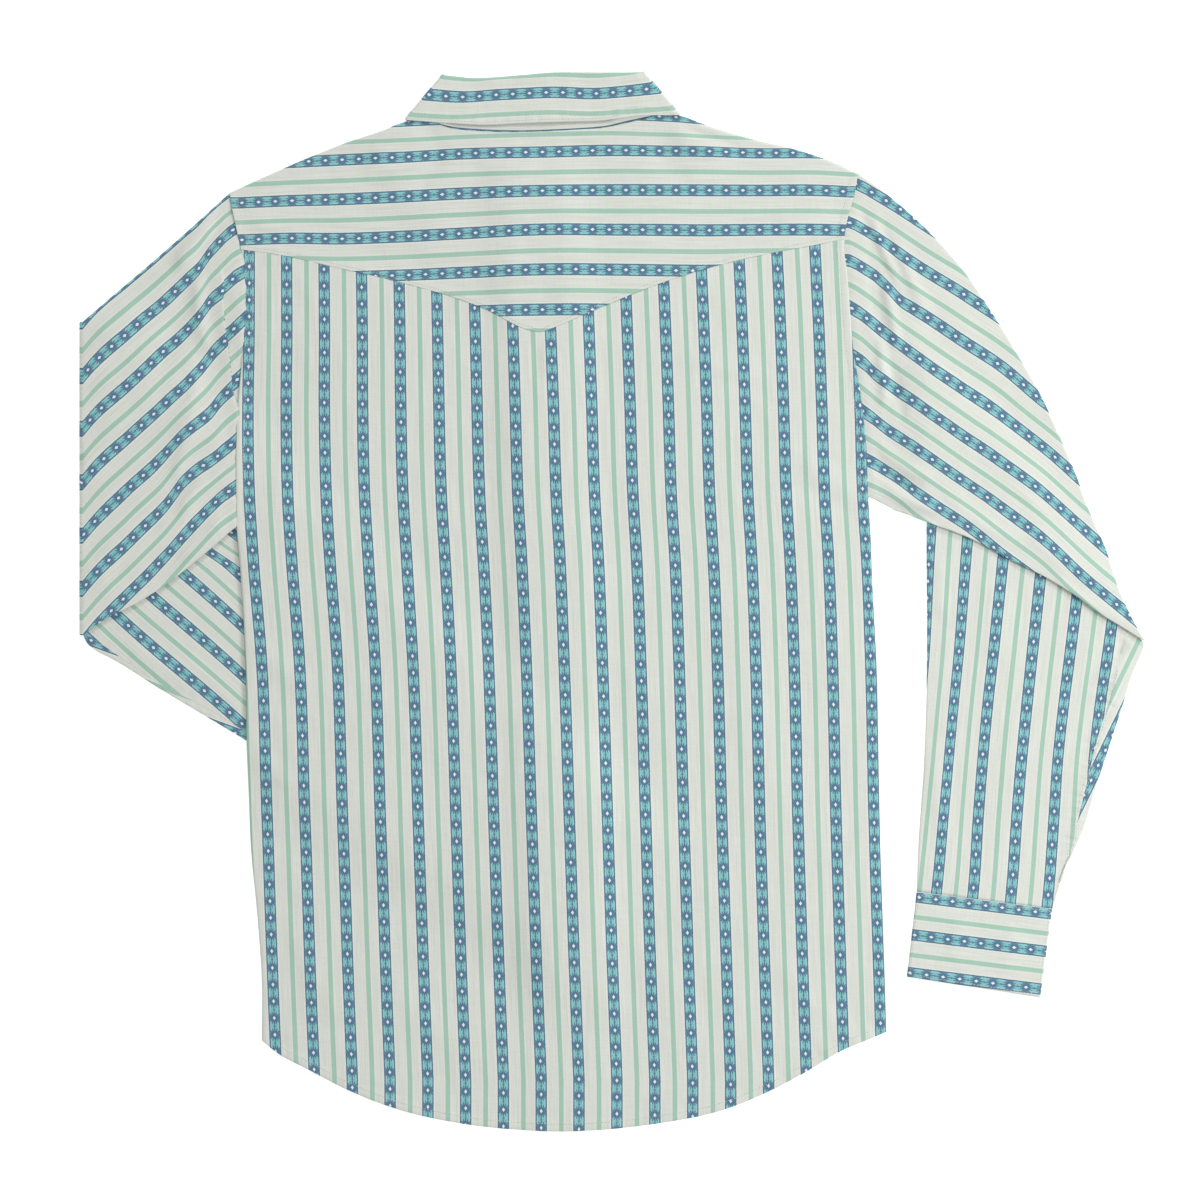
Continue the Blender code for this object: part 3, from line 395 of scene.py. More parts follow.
def path(points, fractions):
    """Points on the eased curves of x and y through a list of points, at fractions of the length of
    its chords."""
    points = np.array(points, float)
    steps = np.linalg.norm(np.diff(points, axis=0), axis=1)
    reach = np.concatenate([[0.0], np.cumsum(steps)]) / steps.sum()
    return np.stack([eased(fractions, reach, points[:, axis]) for axis in (0, 1)], axis=1)


def patch(bottom, top, left, right, across, up):
    """A grid between four edges: the blend of bottom and top, plus the blend of left and right, less
    the blend of the ends of left and right."""
    across = np.asarray(across)[None, :, None]
    up = np.asarray(up)[:, None, None]
    between_rows = (1 - up) * bottom[None] + up * top[None]
    between_sides = (1 - across) * left[:, None] + across * right[:, None]
    lower = (1 - across) * left[0] + across * right[0]
    upper = (1 - across) * left[-1] + across * right[-1]
    return between_rows + between_sides - (1 - up) * lower - up * upper


def distance_to(x, y, spine):
    """Distance from the nearest place of the segment (x0, y0, x1, y1)."""
    x0, y0, x1, y1 = spine
    dx, dy = x1 - x0, y1 - y0
    share = np.clip(((x - x0) * dx + (y - y0) * dy) / (dx * dx + dy * dy), 0.0, 1.0)
    return np.hypot(x - x0 - share * dx, y - y0 - share * dy)


def beyond(x, y, start, end):
    """How far a point lies to the left of the line from start to end."""
    dx, dy = end[0] - start[0], end[1] - start[1]
    return (dx * (y - start[1]) - dy * (x - start[0])) / math.hypot(dx, dy)


def near(x, y, line):
    """Distance from a polyline, and how far along it the nearest place is."""
    best = np.full(np.shape(x), 1e9)
    where = np.zeros(np.shape(x))
    walked = 0.0
    for (x0, y0), (x1, y1) in zip(line[:-1], line[1:]):
        dx, dy = x1 - x0, y1 - y0
        length = math.hypot(dx, dy)
        share = np.clip(((x - x0) * dx + (y - y0) * dy) / length**2, 0.0, 1.0)
        away = np.hypot(x - x0 - share * dx, y - y0 - share * dy)
        closer = away < best
        best = np.where(closer, away, best)
        where = np.where(closer, walked + share * length, where)
        walked += length
    return best, where


# Heights of the lowest face of each layer -------------
def cuff_rise(x, y, corners):
    """Room for the snaps under a cuff: a round shelf of height SNAP_LIFT about the cuff's middle."""
    centre = np.mean(corners, axis=0)
    return shelf(np.hypot(x - centre[0], y - centre[1]), SNAP_LIFT, CUFF_PLATEAU, CUFF_FADE)


def left_forearm_bed(x, y):
    """1 over the forearm and cuff folded under the body, fading to 0 round them."""
    outer = -beyond(x, y, LEFT_FORE_OUTER[-1], LEFT_FORE_OUTER[0])
    inner = beyond(x, y, LEFT_FORE_INNER[-1], LEFT_CREASE_FOOT)
    end = beyond(x, y, LEFT_CUFF[3], LEFT_CUFF[2])
    return shelf(np.maximum(np.maximum(outer, inner), -end), 1.0, 0.0, BED_FADE)


def right_forearm_bed(x, y):
    """1 where the right forearm lies under the upper sleeve, fading to 0 round it."""
    start = -beyond(x, y, RIGHT_FORE_START[0], RIGHT_FORE_START[1])
    inner = RIGHT_FORE_START[1][0] - x
    return shelf(start, 1.0, 0.0, ELBOW_FADE) * shelf(inner, 1.0, 0.0, ELBOW_FADE)


def under_body(x, y):
    """What the folded left forearm and the snaps of its cuff lift the body by."""
    return SLEEVE_STEP * left_forearm_bed(x, y) + cuff_rise(x, y, LEFT_CUFF)


def axis_x(y):
    """The straight line down the middle of the front bands."""
    return AXIS_TOP[0] + AXIS_SLOPE * (y - AXIS_TOP[1])


def placket(x, y):
    """1 on the front bands, fading to 0 beside them and above the neck seam."""
    low, high = NECK_FADE
    return shelf(np.abs(x - axis_x(y)), 1.0, BAND_PLATEAU, BAND_FADE) * shelf(y, 1.0, low, high - low)


def snap_rise(x, y):
    """Room for the snaps of the front: SNAP_LIFT on the bands, from the last snap up."""
    low, high = LAST_SNAP_FADE
    return SNAP_LIFT * placket(x, y) * smooth((y - low) / (high - low))


def wings(x, y):
    """1 over the collar's points, which lie under the fronts."""
    away = np.minimum(distance_to(x, y, LEFT_WING), distance_to(x, y, RIGHT_WING))
    return shelf(away, 1.0, WING_RADIUS, WING_FADE)


def collar_bed(x, y):
    """1 over the whole collar, for the yoke that meets the stand."""
    back = shelf(distance_to(x, y, NECK_SPINE), 1.0, NECK_RADIUS, NECK_SPREAD)
    return np.maximum(wings(x, y), back)


def outer_front_floor(x, y):
    """The left front lies on the folded forearm, the snaps and the collar's points."""
    return under_body(x, y) + snap_rise(x, y) + LAYER * wings(x, y)


def inner_front_floor(x, y):
    """The right front lies one layer higher, where its band is on the left one's."""
    return outer_front_floor(x, y) + LAYER * placket(x, y)


def back_floor(x, y):
    """The back lies one layer above the right front."""
    return inner_front_floor(x, y) + LAYER


def yoke_floor(x, y):
    """The yoke lies one layer above the fronts, and NECK_STEP higher over the collar."""
    lifted = under_body(x, y) + snap_rise(x, y) + LAYER * placket(x, y)
    return lifted + LAYER + NECK_STEP * collar_bed(x, y)


# Creases ----------------------------------------------
BACK_CREASES = (
    # x0, y0, x1, y1, bow, width, rise
    (-266, 262, -281, 160, 6, 7, 0.8),
    (-252, 180, -276, 40, -8, 12, 0.72),
    (-60, 212, -62, 176, 0, 2.4, -1.12),
    (-55, 210, -54, 150, 2, 3, 0.8),
    (60, 196, 120, 180, 5, 8, 0.8),
    (70, 184, 125, 172, 4, 6, -0.72),
    (150, 120, 196, 82, 6, 9, 1.12),
    (140, 92, 198, 66, -5, 8, -0.96),
    (-180, -300, -120, -360, 8, 14, 0.8),
    (-250, -260, -215, -340, 6, 10, 0.8),
    (20, -270, 60, -380, -8, 14, 0.8),
    (130, -280, 178, -340, 6, 10, 0.88),
    (-20, 60, 40, -90, 14, 22, 0.72),
    (-190, 20, -130, -140, -14, 22, 0.72),
    (100, -20, 150, -190, 12, 20, 0.8),
    (-286, -120, -250, -150, 3, 6, 0.96),
    (-286, -30, -240, -70, 4, 8, 0.96),
    (206, -40, 168, -70, 3, 7, 0.96),
    (208, -180, 172, -214, -3, 7, 0.8),
)
YOKE_CREASES = (
    # x0, y0, x1, y1, bow, width, rise
    (-136, 378, -194, 361, 3, 3, -1.35),
    (-134, 373, -180, 347, 4, 3.5, -1.22),
    (50, 384, 104, 364, 3, 3.2, -1.22),
    (-150, 378, -196, 352, 4, 7, 2.02),
    (-138, 372, -160, 330, -5, 8, -1.3),
    (44, 380, 96, 356, 5, 8, 2.02),
    (36, 372, 62, 330, 5, 9, -1.08),
    (-290, 306, -240, 292, 4, 9, 0.8),
    (176, 318, 128, 300, -4, 9, 0.8),
    (-120, 300, -70, 262, 6, 14, 0.64),
    (0, 300, -40, 262, -6, 14, 0.64),
)
LEFT_SLEEVE_CREASES = (
    # x0, y0, x1, y1, bow, width, rise
    (-304, 316, -334, 262, 3, 4.5, -1.56),
    (-316, 316, -348, 262, 3, 7, 1.74),
    (-330, 262, -362, 150, 9, 9, -1.08),
    (-330, 270, -322, 196, 5, 6, 1.86),
    (-312, 300, -352, 262, 5, 6, 1.39),
    (-334, 196, -352, 120, -6, 8, 1.73),
    (-322, 150, -350, 92, 6, 6, 1.73),
    (-306, 140, -330, 98, -5, 5, -1.41),
    (-306, 112, -346, 62, 7, 6, 1.92),
    (-308, 92, -344, 46, 6, 5, -1.23),
    (-310, 70, -350, 34, -5, 6, 1.54),
    (-372, 240, -416, 168, 9, 12, 0.96),
    (-380, 150, -420, 90, 8, 12, 0.88),
    (-372, 60, -418, 6, 8, 10, 0.96),
)
LEFT_FOREARM_CREASES = (
    # x0, y0, x1, y1, bow, width, rise
    (-392, -30, -330, -72, 3, 6, 0.96),
    (-350, -46, -298, -84, -3, 6, 0.96),
)
RIGHT_SLEEVE_CREASES = (
    # x0, y0, x1, y1, bow, width, rise
    (197, 316, 224, 256, 2, 2.6, -1.62),
    (207, 308, 231, 252, 2, 3.4, 2.55),
    (214, 304, 242, 240, 2, 3, -1.38),
    (226, 290, 254, 226, 3, 6, 2.25),
    (204, 290, 211, 190, -3, 5, -1.62),
    (214, 262, 226, 196, -3, 4, 2.1),
    (206, 226, 216, 150, -5, 5, 2.4),
    (214, 200, 232, 140, -4, 4.5, -1.4),
    (210, 128, 262, 96, 6, 5, 1.92),
    (208, 112, 250, 84, 4, 4, -1.58),
    (214, 94, 270, 70, 4, 5, 2.11),
    (262, 88, 330, 46, 5, 7, 1.34),
    (300, 150, 352, 92, 8, 12, 0.8),
    (330, 60, 396, 14, 7, 8, 1.12),
    (350, 24, 412, -18, 4, 5, 0.96),
    (270, 236, 318, 176, 9, 14, 0.8),
)
RIGHT_FOREARM_CREASES = (
    # x0, y0, x1, y1, bow, width, rise
    (408, -30, 402, -46, 0, 1.8, -2.56),
    (404, -30, 386, -70, -2, 4, 1.44),
    (414, -36, 398, -84, 2, 4, 0.96),
    (384, -24, 360, -70, -4, 6, 0.96),
    (262, 40, 266, -20, 3, 7, 0.96),
    (300, 20, 306, -60, -4, 12, 0.8),
    (256, -110, 270, -200, 4, 8, 0.8),
    (330, -90, 312, -200, 6, 14, 0.72),
)
CUFF_CREASES = (
    # x0, y0, x1, y1, bow, width, rise
    (280, -250, 274, -292, 3, 8, 0.8),
    (318, -256, 310, -300, -3, 9, 0.8),
)
NO_CREASES = ()


CREASE_END, CREASE_START = 0.3, 0.15  # share of a crease that fades, and where it starts within that


def crease_height(x, y, table):
    """Sum of soft ridges and troughs. Each one follows the parabola that leaves its chord by bow at
    the middle, falls off as exp(-(distance / width)^2) and fades to nothing at its two ends."""
    total = np.zeros(np.shape(x))
    for x0, y0, x1, y1, bow, width, rise in table:
        dx, dy = x1 - x0, y1 - y0
        length = math.hypot(dx, dy)
        share = ((x - x0) * dx + (y - y0) * dy) / length**2
        aside = ((x - x0) * dy - (y - y0) * dx) / length - bow * 4 * share * (1 - share)
        ends = smooth(share / CREASE_END + CREASE_START)
        ends = ends * smooth((1 - share) / CREASE_END + CREASE_START)
        total = total + rise * ends * np.exp(-((aside / width) ** 2))
    return total


WAVES = 7  # sine waves in a ripple
RIPPLE_GAIN = 1.6  # so that a ripple reaches about 1


def ripple(x, y, size, seed):
    """Uneven ground between about -1 and 1: the mean of seven sine waves whose directions, lengths
    round size and phases come from a seeded draw."""
    draw = np.random.default_rng(seed)
    total = np.zeros(np.shape(x))
    for _ in range(WAVES):
        heading = draw.uniform(0, math.pi)
        length = size * draw.uniform(0.7, 1.5)
        phase = draw.uniform(0, 2 * math.pi)
        ahead = x * math.cos(heading) + y * math.sin(heading)
        total = total + np.sin(ahead * 2 * math.pi / length + phase)
    return total / WAVES * RIPPLE_GAIN


BODY_RIPPLES = ((0.4, 90), (0.13, 26))  # heights and wave lengths of the cloth's unevenness
SLEEVE_RIPPLES = ((0.38, 70), (0.14, 24))
CUFF_RIPPLES = ((0.14, 36),)


def unevenness(x, y, ripples, seed):
    """The sum of ripples, each times its height and with a seed of its own."""
    return sum(height * ripple(x, y, size, seed + k) for k, (height, size) in enumerate(ripples))


# Gathers at a seam: height, reach across the seam and mean wave length along it
BODY_GATHERS = (0.3, 9.0, 11.0)
HEM_GATHERS = (0.5, 15, 17)
BELOW_YOKE_GATHERS = (0.25, 8, 12)
YOKE_GATHERS = (0.2, 7, 12)
SLEEVE_GATHERS = (0.45, 11, 13)
LEFT_SEAM_GATHERS = (0.8, 9, 7)
RIGHT_SEAM_GATHERS = (0.6, 7, 7)
GATHER_SCALES = (0.7, 1, 1.6)  # wave lengths of the three waves, as shares of the mean one
FULL_TURN = 6.28


def pucker(x, y, line, gathers, seed):
    """Short gathers across a seam: the mean of three sine waves along the line, with drawn phases,
    times exp(-(distance / reach)^2)."""
    height, reach, size = gathers
    away, along = near(x, y, line)
    draw = np.random.default_rng(seed)
    wave = np.zeros(np.shape(x))
    for scale in GATHER_SCALES:
        wave = wave + np.sin(along * 2 * math.pi / (size * scale) + draw.uniform(0, FULL_TURN))
    return height * (wave / len(GATHER_SCALES) * np.exp(-((away / reach) ** 2)))


# Edges shared by seams, gathers and stitches ----------
def side_points(y, end):
    """Points of the body's left (0) or right (1) edge at some heights, on the eased curve of its
    table."""
    sides = np.array(BODY_SIDES)
    return np.stack([eased(y, sides[:, 0], sides[:, 1 + end]), y], axis=1)


def side_line(end, y_low, y_high, count=40):
    """The body's left (0) or right (1) edge between two heights."""
    return side_points(np.linspace(y_low, y_high, count), end)


def shifted(line, distance):
    """A line moved to its left by a distance."""
    line = np.asarray(line, float)
    step = np.gradient(line, axis=0)
    step /= np.linalg.norm(step, axis=1, keepdims=True)
    return line + distance * np.stack([-step[:, 1], step[:, 0]], axis=1)


def height_at(table, x):
    """The eased curve of y over x through a table's points."""
    table = np.array(table)
    return eased(x, table[:, 0], table[:, 1])


def table_line(table, count=90):
    """Points of that curve at even steps of x from the table's first point to its last."""
    x = np.linspace(table[0][0], table[-1][0], count)
    return np.stack([x, height_at(table, x)], axis=1)


YOKE_SEAM_LEFT, YOKE_SEAM_RIGHT = YOKE_SEAM[: YOKE_TIP + 1], YOKE_SEAM[YOKE_TIP:]


def yoke_seam_height(x):
    """Two eased curves that meet in the yoke's point."""
    tip = YOKE_SEAM[YOKE_TIP][0]
    return np.where(x < tip, height_at(YOKE_SEAM_LEFT, x), height_at(YOKE_SEAM_RIGHT, x))


HEM_LINE = table_line(HEM)
YOKE_LINE = np.concatenate([table_line(YOKE_SEAM_LEFT, 45), table_line(YOKE_SEAM_RIGHT, 45)[1:]])
LEFT_ARMHOLE = side_line(0, LEFT_ARMPIT, LEFT_SHOULDER)
RIGHT_ARMHOLE = side_line(1, RIGHT_ARMPIT, RIGHT_SHOULDER)

# Shelves beside an edge or a seam: height, width of the flat part and of the slope after it
ARMHOLE_LAP = (0.55, 2, 5)
HEM_FOLD = (0.3, 7, 1.6)
YOKE_FOLD = (0.5, 3, 4)
YOKE_LAP = 1.2  # the yoke's turned edge passes the seam by this much


def body_relief(x, y):
    """What the armholes' seams and the cloth's own unevenness add to the back and the yoke: a shelf
    along the seams, gathers and two ripples."""
    left, _ = near(x, y, LEFT_ARMHOLE)
    right, _ = near(x, y, RIGHT_ARMHOLE)
    lap = shelf(np.minimum(left, right), *ARMHOLE_LAP)
    gathers = pucker(x, y, LEFT_ARMHOLE, BODY_GATHERS, 3) + pucker(x, y, RIGHT_ARMHOLE, BODY_GATHERS, 4)
    return lap + gathers + unevenness(x, y, BODY_RIPPLES, 11)


def back_top(x, y):
    """The back's outer face: its floor and a ply, with the body's relief, its creases, the shelf of
    the folded hem, and gathers at the hem and the yoke's seam."""
    hem, _ = near(x, y, HEM_LINE)
    edges = shelf(hem, *HEM_FOLD) + pucker(x, y, HEM_LINE, HEM_GATHERS, 5)
    edges = edges + pucker(x, y, YOKE_LINE, BELOW_YOKE_GATHERS, 6)
    return back_floor(x, y) + PLY + body_relief(x, y) + crease_height(x, y, BACK_CREASES) + edges


def yoke_top(x, y):
    """The yoke's outer face: its floor and a ply, with the body's relief, its creases, the shelf of
    its folded edge and gathers along it."""
    away, _ = near(x, y, YOKE_LINE)
    edges = shelf(away, *YOKE_FOLD) + pucker(x, y, YOKE_LINE, YOKE_GATHERS, 7)
    return yoke_floor(x, y) + PLY + body_relief(x, y) + crease_height(x, y, YOKE_CREASES) + edges


# Stripe coordinates -----------------------------------
def stripe_number(along, across, table, numbers):
    """The number of the band at a point, with its fraction: straight between the numbered bands of a
    row of the table and beyond them, and an eased curve from row to row."""
    table = np.array(table, float)
    order = np.argsort(table[:, 0])
    table = table[order]
    numbers = np.asarray(numbers, float)
    flat = np.ravel(across)
    per_row = []
    for row in table[:, 1:]:
        if row[0] > row[-1]:
            row, counted = row[::-1], numbers[::-1]
        else:
            counted = numbers
        inside = np.interp(flat, row, counted)
        first = (counted[1] - counted[0]) / (row[1] - row[0])
        last = (counted[-1] - counted[-2]) / (row[-1] - row[-2])
        inside = inside + np.minimum(flat - row[0], 0) * first + np.maximum(flat - row[-1], 0) * last
        per_row.append(inside)
    flat_along = np.clip(np.ravel(along), table[0, 0], table[-1, 0])
    return eased(flat_along, table[:, 0], np.array(per_row)).reshape(np.shape(across))


def weave_from(across, slope_x, slope_y, x, y, start=0.0):
    """Millimetres across the stripes, and along them as slope_x x + slope_y y + start."""
    return across, x * slope_x + y * slope_y + start


def back_weave(x, y):
    """The bands run up the back and lean a little."""
    number = stripe_number(y, x, BACK_STRIPES, BACK_NUMBERS)
    return weave_from(number * PITCH, -0.036, -1.001, x, y, 4.0)


def yoke_weave(x, y):
    """The bands run across the yoke."""
    number = stripe_number(x, y, YOKE_STRIPES, YOKE_NUMBERS)
    return weave_from(number * PITCH, 1.0, 0.0, x, y, 3.0)


def left_sleeve_weave(x, y):
    """The bands run down the upper sleeve to its crease."""
    number = stripe_number(x, y, LEFT_SLEEVE_STRIPES, LEFT_SLEEVE_NUMBERS)
    return weave_from(number * PITCH, 0.72, 0.694, x, y)


def left_forearm_weave(x, y):
    """The sliver beyond the seam belongs to the sleeve's other edge, so its stripes slant less: the
    point's coordinates about LEFT_SLIVER, turned by LEFT_SLIVER_SLANT."""
    number = stripe_number(x, y, LEFT_FOREARM_STRIPES, LEFT_FOREARM_NUMBERS)
    across, along = weave_from(number * PITCH, 0.756, -0.655, x, y)
    past = past_left_seam(x, y) > 0
    sine, cosine = math.sin(LEFT_SLIVER_SLANT), math.cos(LEFT_SLIVER_SLANT)
    right, up = x - LEFT_SLIVER[0], y - LEFT_SLIVER[1]
    sliver_across = right * sine - up * cosine + PITCH / 2 + GREEN_SHIFT
    return np.where(past, sliver_across, across), np.where(past, right * cosine + up * sine, along)


def right_sleeve_weave(x, y):
    """The bands run down the upper sleeve to its fold."""
    number = stripe_number(x, y, RIGHT_SLEEVE_STRIPES, RIGHT_SLEEVE_NUMBERS)
    return weave_from(number * PITCH, 0.826, -0.563, x, y)


def right_forearm_weave(x, y):
    """The stripes beyond the seam are straight and slant more: the point's coordinates about
    SEAM_BAND, turned by SEAM_SLANT."""
    number = stripe_number(y, x, RIGHT_FOREARM_STRIPES, RIGHT_FOREARM_NUMBERS)
    across, along = weave_from(number * PITCH, -0.095, -0.995, x, y)
    past = past_right_seam(x, y) > 0
    sine, cosine = math.sin(SEAM_SLANT), math.cos(SEAM_SLANT)
    right, up = x - SEAM_BAND[0], y - SEAM_BAND[1]
    sliver_across, sliver_along = right * cosine - up * sine, -right * sine - up * cosine
    return np.where(past, sliver_across, across), np.where(past, sliver_along, along)


def cuff_weave(x, y, corners):
    """Distance from the cuff's seam, less CUFF_BAND_START, and distance along the seam."""
    (x0, y0), (x1, y1) = corners[:2]
    top = -beyond(x, y, (x0, y0), (x1, y1))
    if np.mean(top) < 0:
        top = -top
    along = ((x - x0) * (x1 - x0) + (y - y0) * (y1 - y0)) / math.hypot(x1 - x0, y1 - y0)
    return top - CUFF_BAND_START, along


# Materials --------------------------------------------
def linear(red, green, blue):
    """A colour given as it looks, 0 to 255, as the light that it reflects."""
    parts = np.array([red, green, blue]) / 255.0
    return tuple(np.where(parts <= 0.04045, parts / 12.92, ((parts + 0.055) / 1.055) ** 2.4)) + (1.0,)


CREAM_SHADE, CREAM = linear(211, 214, 204), linear(222, 226, 220)
CREAM_WEFT, CREAM_CLOUD = linear(204, 207, 196), linear(213, 217, 208)
CREAM_PALE = linear(229, 233, 228)
GREEN_SHADE, GREEN_PALE = linear(156, 192, 172), linear(172, 203, 187)
TURQUOISE = linear(128, 190, 190)
TURQUOISE_PALE = linear(152, 204, 208)
TURQUOISE_DEEP = linear(104, 160, 168)
INDIGO = linear(86, 118, 144)
INDIGO_PALE = linear(98, 133, 160)
LINE_BLUE = linear(80, 112, 132)
STAR_WHITE = linear(226, 236, 240)
THREAD_SHADE, THREAD_PALE = linear(194, 196, 182), linear(214, 216, 204)
PEARL_WARM, PEARL_COOL, PEARL_ROSE = linear(236, 232, 224), linear(216, 226, 226), linear(238, 222, 220)
METAL_DARK, METAL_PALE = linear(176, 176, 174), linear(208, 207, 203)
FLOOR_SHADE, FLOOR_PALE = (0.95, 0.95, 0.95, 1.0), (0.97, 0.97, 0.97, 1.0)
YARN_WOBBLE = 0.18  # a stripe's edge wanders by this much
YARN_EDGE = 0.12  # and is this soft
STAR_FLECK = 0.35  # how much the star's outline frays
TOOTH, TOOTH_DEPTH = 0.8, 0.4  # half of the step between a star's small teeth, and their depth
STAR_RAYS = (
    # degrees from the band's length, length, half width
    (0, 6.4, 1.55),
    (25, 6.2, 1.3),
    (50, 6.4, 1.35),
    (90, 9, 2.4),
)
DIAMOND = (1.2, 1.75)  # half of the white diamond's size across and along the band
SPECK = (0.75, 1.3)  # and of the dark speck between two stars
STAR_EDGE = (1.12, 0.9)  # a star's gauge where its colour starts and where it is full
DIAMOND_EDGE = (1.12, 0.88)


class Nodes:
    """Short words for building a node tree."""

    def __init__(self, name):
        self.material = bpy.data.materials.new(name)
        self.material.use_nodes = True
        self.tree = self.material.node_tree
        self.shader = self.tree.nodes["Principled BSDF"]

    def add(self, kind, **settings):
        """A new node with its settings."""
        node = self.tree.nodes.new(kind)
        for key, value in settings.items():
            setattr(node, key, value)
        return node

    def feed(self, socket, value):
        """Links a socket to another one, or sets it to a plain value."""
        if isinstance(value, bpy.types.NodeSocket):
            self.tree.links.new(value, socket)
        else:
            socket.default_value = value

    def calc(self, operation, *values):
        """The result of a mathematical node."""
        node = self.add("ShaderNodeMath", operation=operation)
        for socket, value in zip(node.inputs, values):
            self.feed(socket, value)
        return node.outputs[0]

    def times(self, value, factor):
        """value multiplied by factor."""
        return self.calc("MULTIPLY", value, factor)

    def mix(self, share, first, second):
        """The first colour where share is 0, the second where it is 1."""
        node = self.add("ShaderNodeMix", data_type="RGBA")
        self.feed(node.inputs["Factor"], share)
        self.feed(node.inputs["A"], first)
        self.feed(node.inputs["B"], second)
        return node.outputs["Result"]

    def noise(self, vector, scale, detail=2.0, roughness=0.5):
        """Cloudy noise between 0 and 1."""
        node = self.add("ShaderNodeTexNoise")
        self.feed(node.inputs["Vector"], vector)
        node.inputs["Scale"].default_value = scale
        node.inputs["Detail"].default_value = detail
        node.inputs["Roughness"].default_value = roughness
        return node.outputs["Fac"]

    def vector(self, *parts):
        """A vector of up to three parts."""
        node = self.add("ShaderNodeCombineXYZ")
        for socket, value in zip(node.inputs, parts):
            self.feed(socket, value)
        return node.outputs[0]

    def soft_step(self, value, low, high):
        """0 where value is under low, 1 where it is over high."""
        node = self.add("ShaderNodeMapRange", interpolation_type="SMOOTHSTEP")
        self.feed(node.inputs["Value"], value)
        self.feed(node.inputs["From Min"], low)
        self.feed(node.inputs["From Max"], high)
        return node.outputs["Result"]

    def bump(self, height, distance, strength=1.0, normal=None):
        """A normal tilted by a height, whose full range is distance metres."""
        node = self.add("ShaderNodeBump")
        self.feed(node.inputs["Height"], height)
        node.inputs["Distance"].default_value = distance
        node.inputs["Strength"].default_value = strength
        if normal is not None:
            self.feed(node.inputs["Normal"], normal)
        return node.outputs["Normal"]


def rhombus(made, across, along, half_sizes):
    """1 on the outline of a rhombus: |across| / its half width + |along| / its half length."""
    half_width, half_length = half_sizes
    return made.calc("ADD", made.calc("DIVIDE", across, half_width), made.calc("DIVIDE", along, half_length))


def cream_ground(made, place, warp, weft, off_band, off_green):
    """Cream yarns with faint streaks along the stripes and finer ones across them, paler beside the
    bands, and the green stripe halfway between them."""
    cloud = made.soft_step(made.noise(place, 28.0, 3.0), 0.4, 0.75)
    ground = made.mix(made.soft_step(warp, 0.35, 0.68), CREAM_SHADE, CREAM)
    ground = made.mix(made.times(made.soft_step(weft, 0.42, 0.7), 0.3), ground, CREAM_WEFT)
    ground = made.mix(made.times(cloud, 0.3), ground, CREAM_CLOUD)
    halo = made.times(made.soft_step(off_band, BAND / 2 + 1.5, BAND / 2 + 0.4), 0.6)
    ground = made.mix(halo, ground, CREAM_PALE)
    green_edge = made.times(made.soft_step(off_green, GREEN / 2 + 1.6, GREEN / 2), 0.4)
    ground = made.mix(green_edge, ground, CREAM_PALE)
    green = made.soft_step(off_green, GREEN / 2 + 0.2, GREEN / 2 - 0.2)
    return made.mix(green, ground, made.mix(warp, GREEN_SHADE, GREEN_PALE))


def star_gauge(made, off_band, off_star, fleck):
    """Under 1 inside a star and over 1 outside it. Every ray is a narrow rhombus: distance beside
    the ray / its half width + distance along it / its length. The least of them counts, frayed by
    the fleck and by small teeth, and a speck lies halfway to the next star."""
    star = None
    for heading, length, half in STAR_RAYS:
        sine, cosine = math.sin(math.radians(heading)), math.cos(math.radians(heading))
        ahead = made.calc("MULTIPLY_ADD", off_star, cosine, made.times(off_band, sine))
        aside = made.calc("MULTIPLY_ADD", off_star, -sine, made.times(off_band, cosine))
        gauge = made.calc("DIVIDE", ahead, length)
        gauge = made.calc("MULTIPLY_ADD", made.calc("ABSOLUTE", aside), 1 / half, gauge)
        star = gauge if star is None else made.calc("MINIMUM", star, gauge)
    star = made.calc("MULTIPLY_ADD", made.calc("SUBTRACT", fleck, 0.5), STAR_FLECK, star)
    teeth = made.calc("SUBTRACT", made.calc("PINGPONG", off_band, TOOTH), TOOTH / 2)
    star = made.calc("MULTIPLY_ADD", teeth, TOOTH_DEPTH, star)
    speck = rhombus(made, off_band, made.calc("SUBTRACT", MOTIF / 2, off_star), SPECK)
    return made.calc("MINIMUM", star, speck)


def starry_band(made, across, along, off_band, off_star):
    """Turquoise with spiky indigo stars, each with a white diamond in its middle, between two dark
    lines."""
    fleck = made.noise(made.vector(across, along, 2.0), 1.1, 2.0, 0.7)
    band = made.mix(made.soft_step(off_band, 1.2, 3.6), TURQUOISE, TURQUOISE_PALE)
    band = made.mix(made.soft_step(fleck, 0.5, 0.72), band, TURQUOISE_DEEP)
    star_tone = made.mix(made.soft_step(off_band, 1.2, 4.2), INDIGO, INDIGO_PALE)
    star = star_gauge(made, off_band, off_star, fleck)
    band = made.mix(made.soft_step(star, *STAR_EDGE), band, star_tone)
    diamond = rhombus(made, off_band, off_star, DIAMOND)
    band = made.mix(made.soft_step(diamond, *DIAMOND_EDGE), band, STAR_WHITE)
    line = BAND / 2 - BAND_LINE
    return made.mix(made.soft_step(off_band, line - YARN_EDGE, line + YARN_EDGE), band, LINE_BLUE)


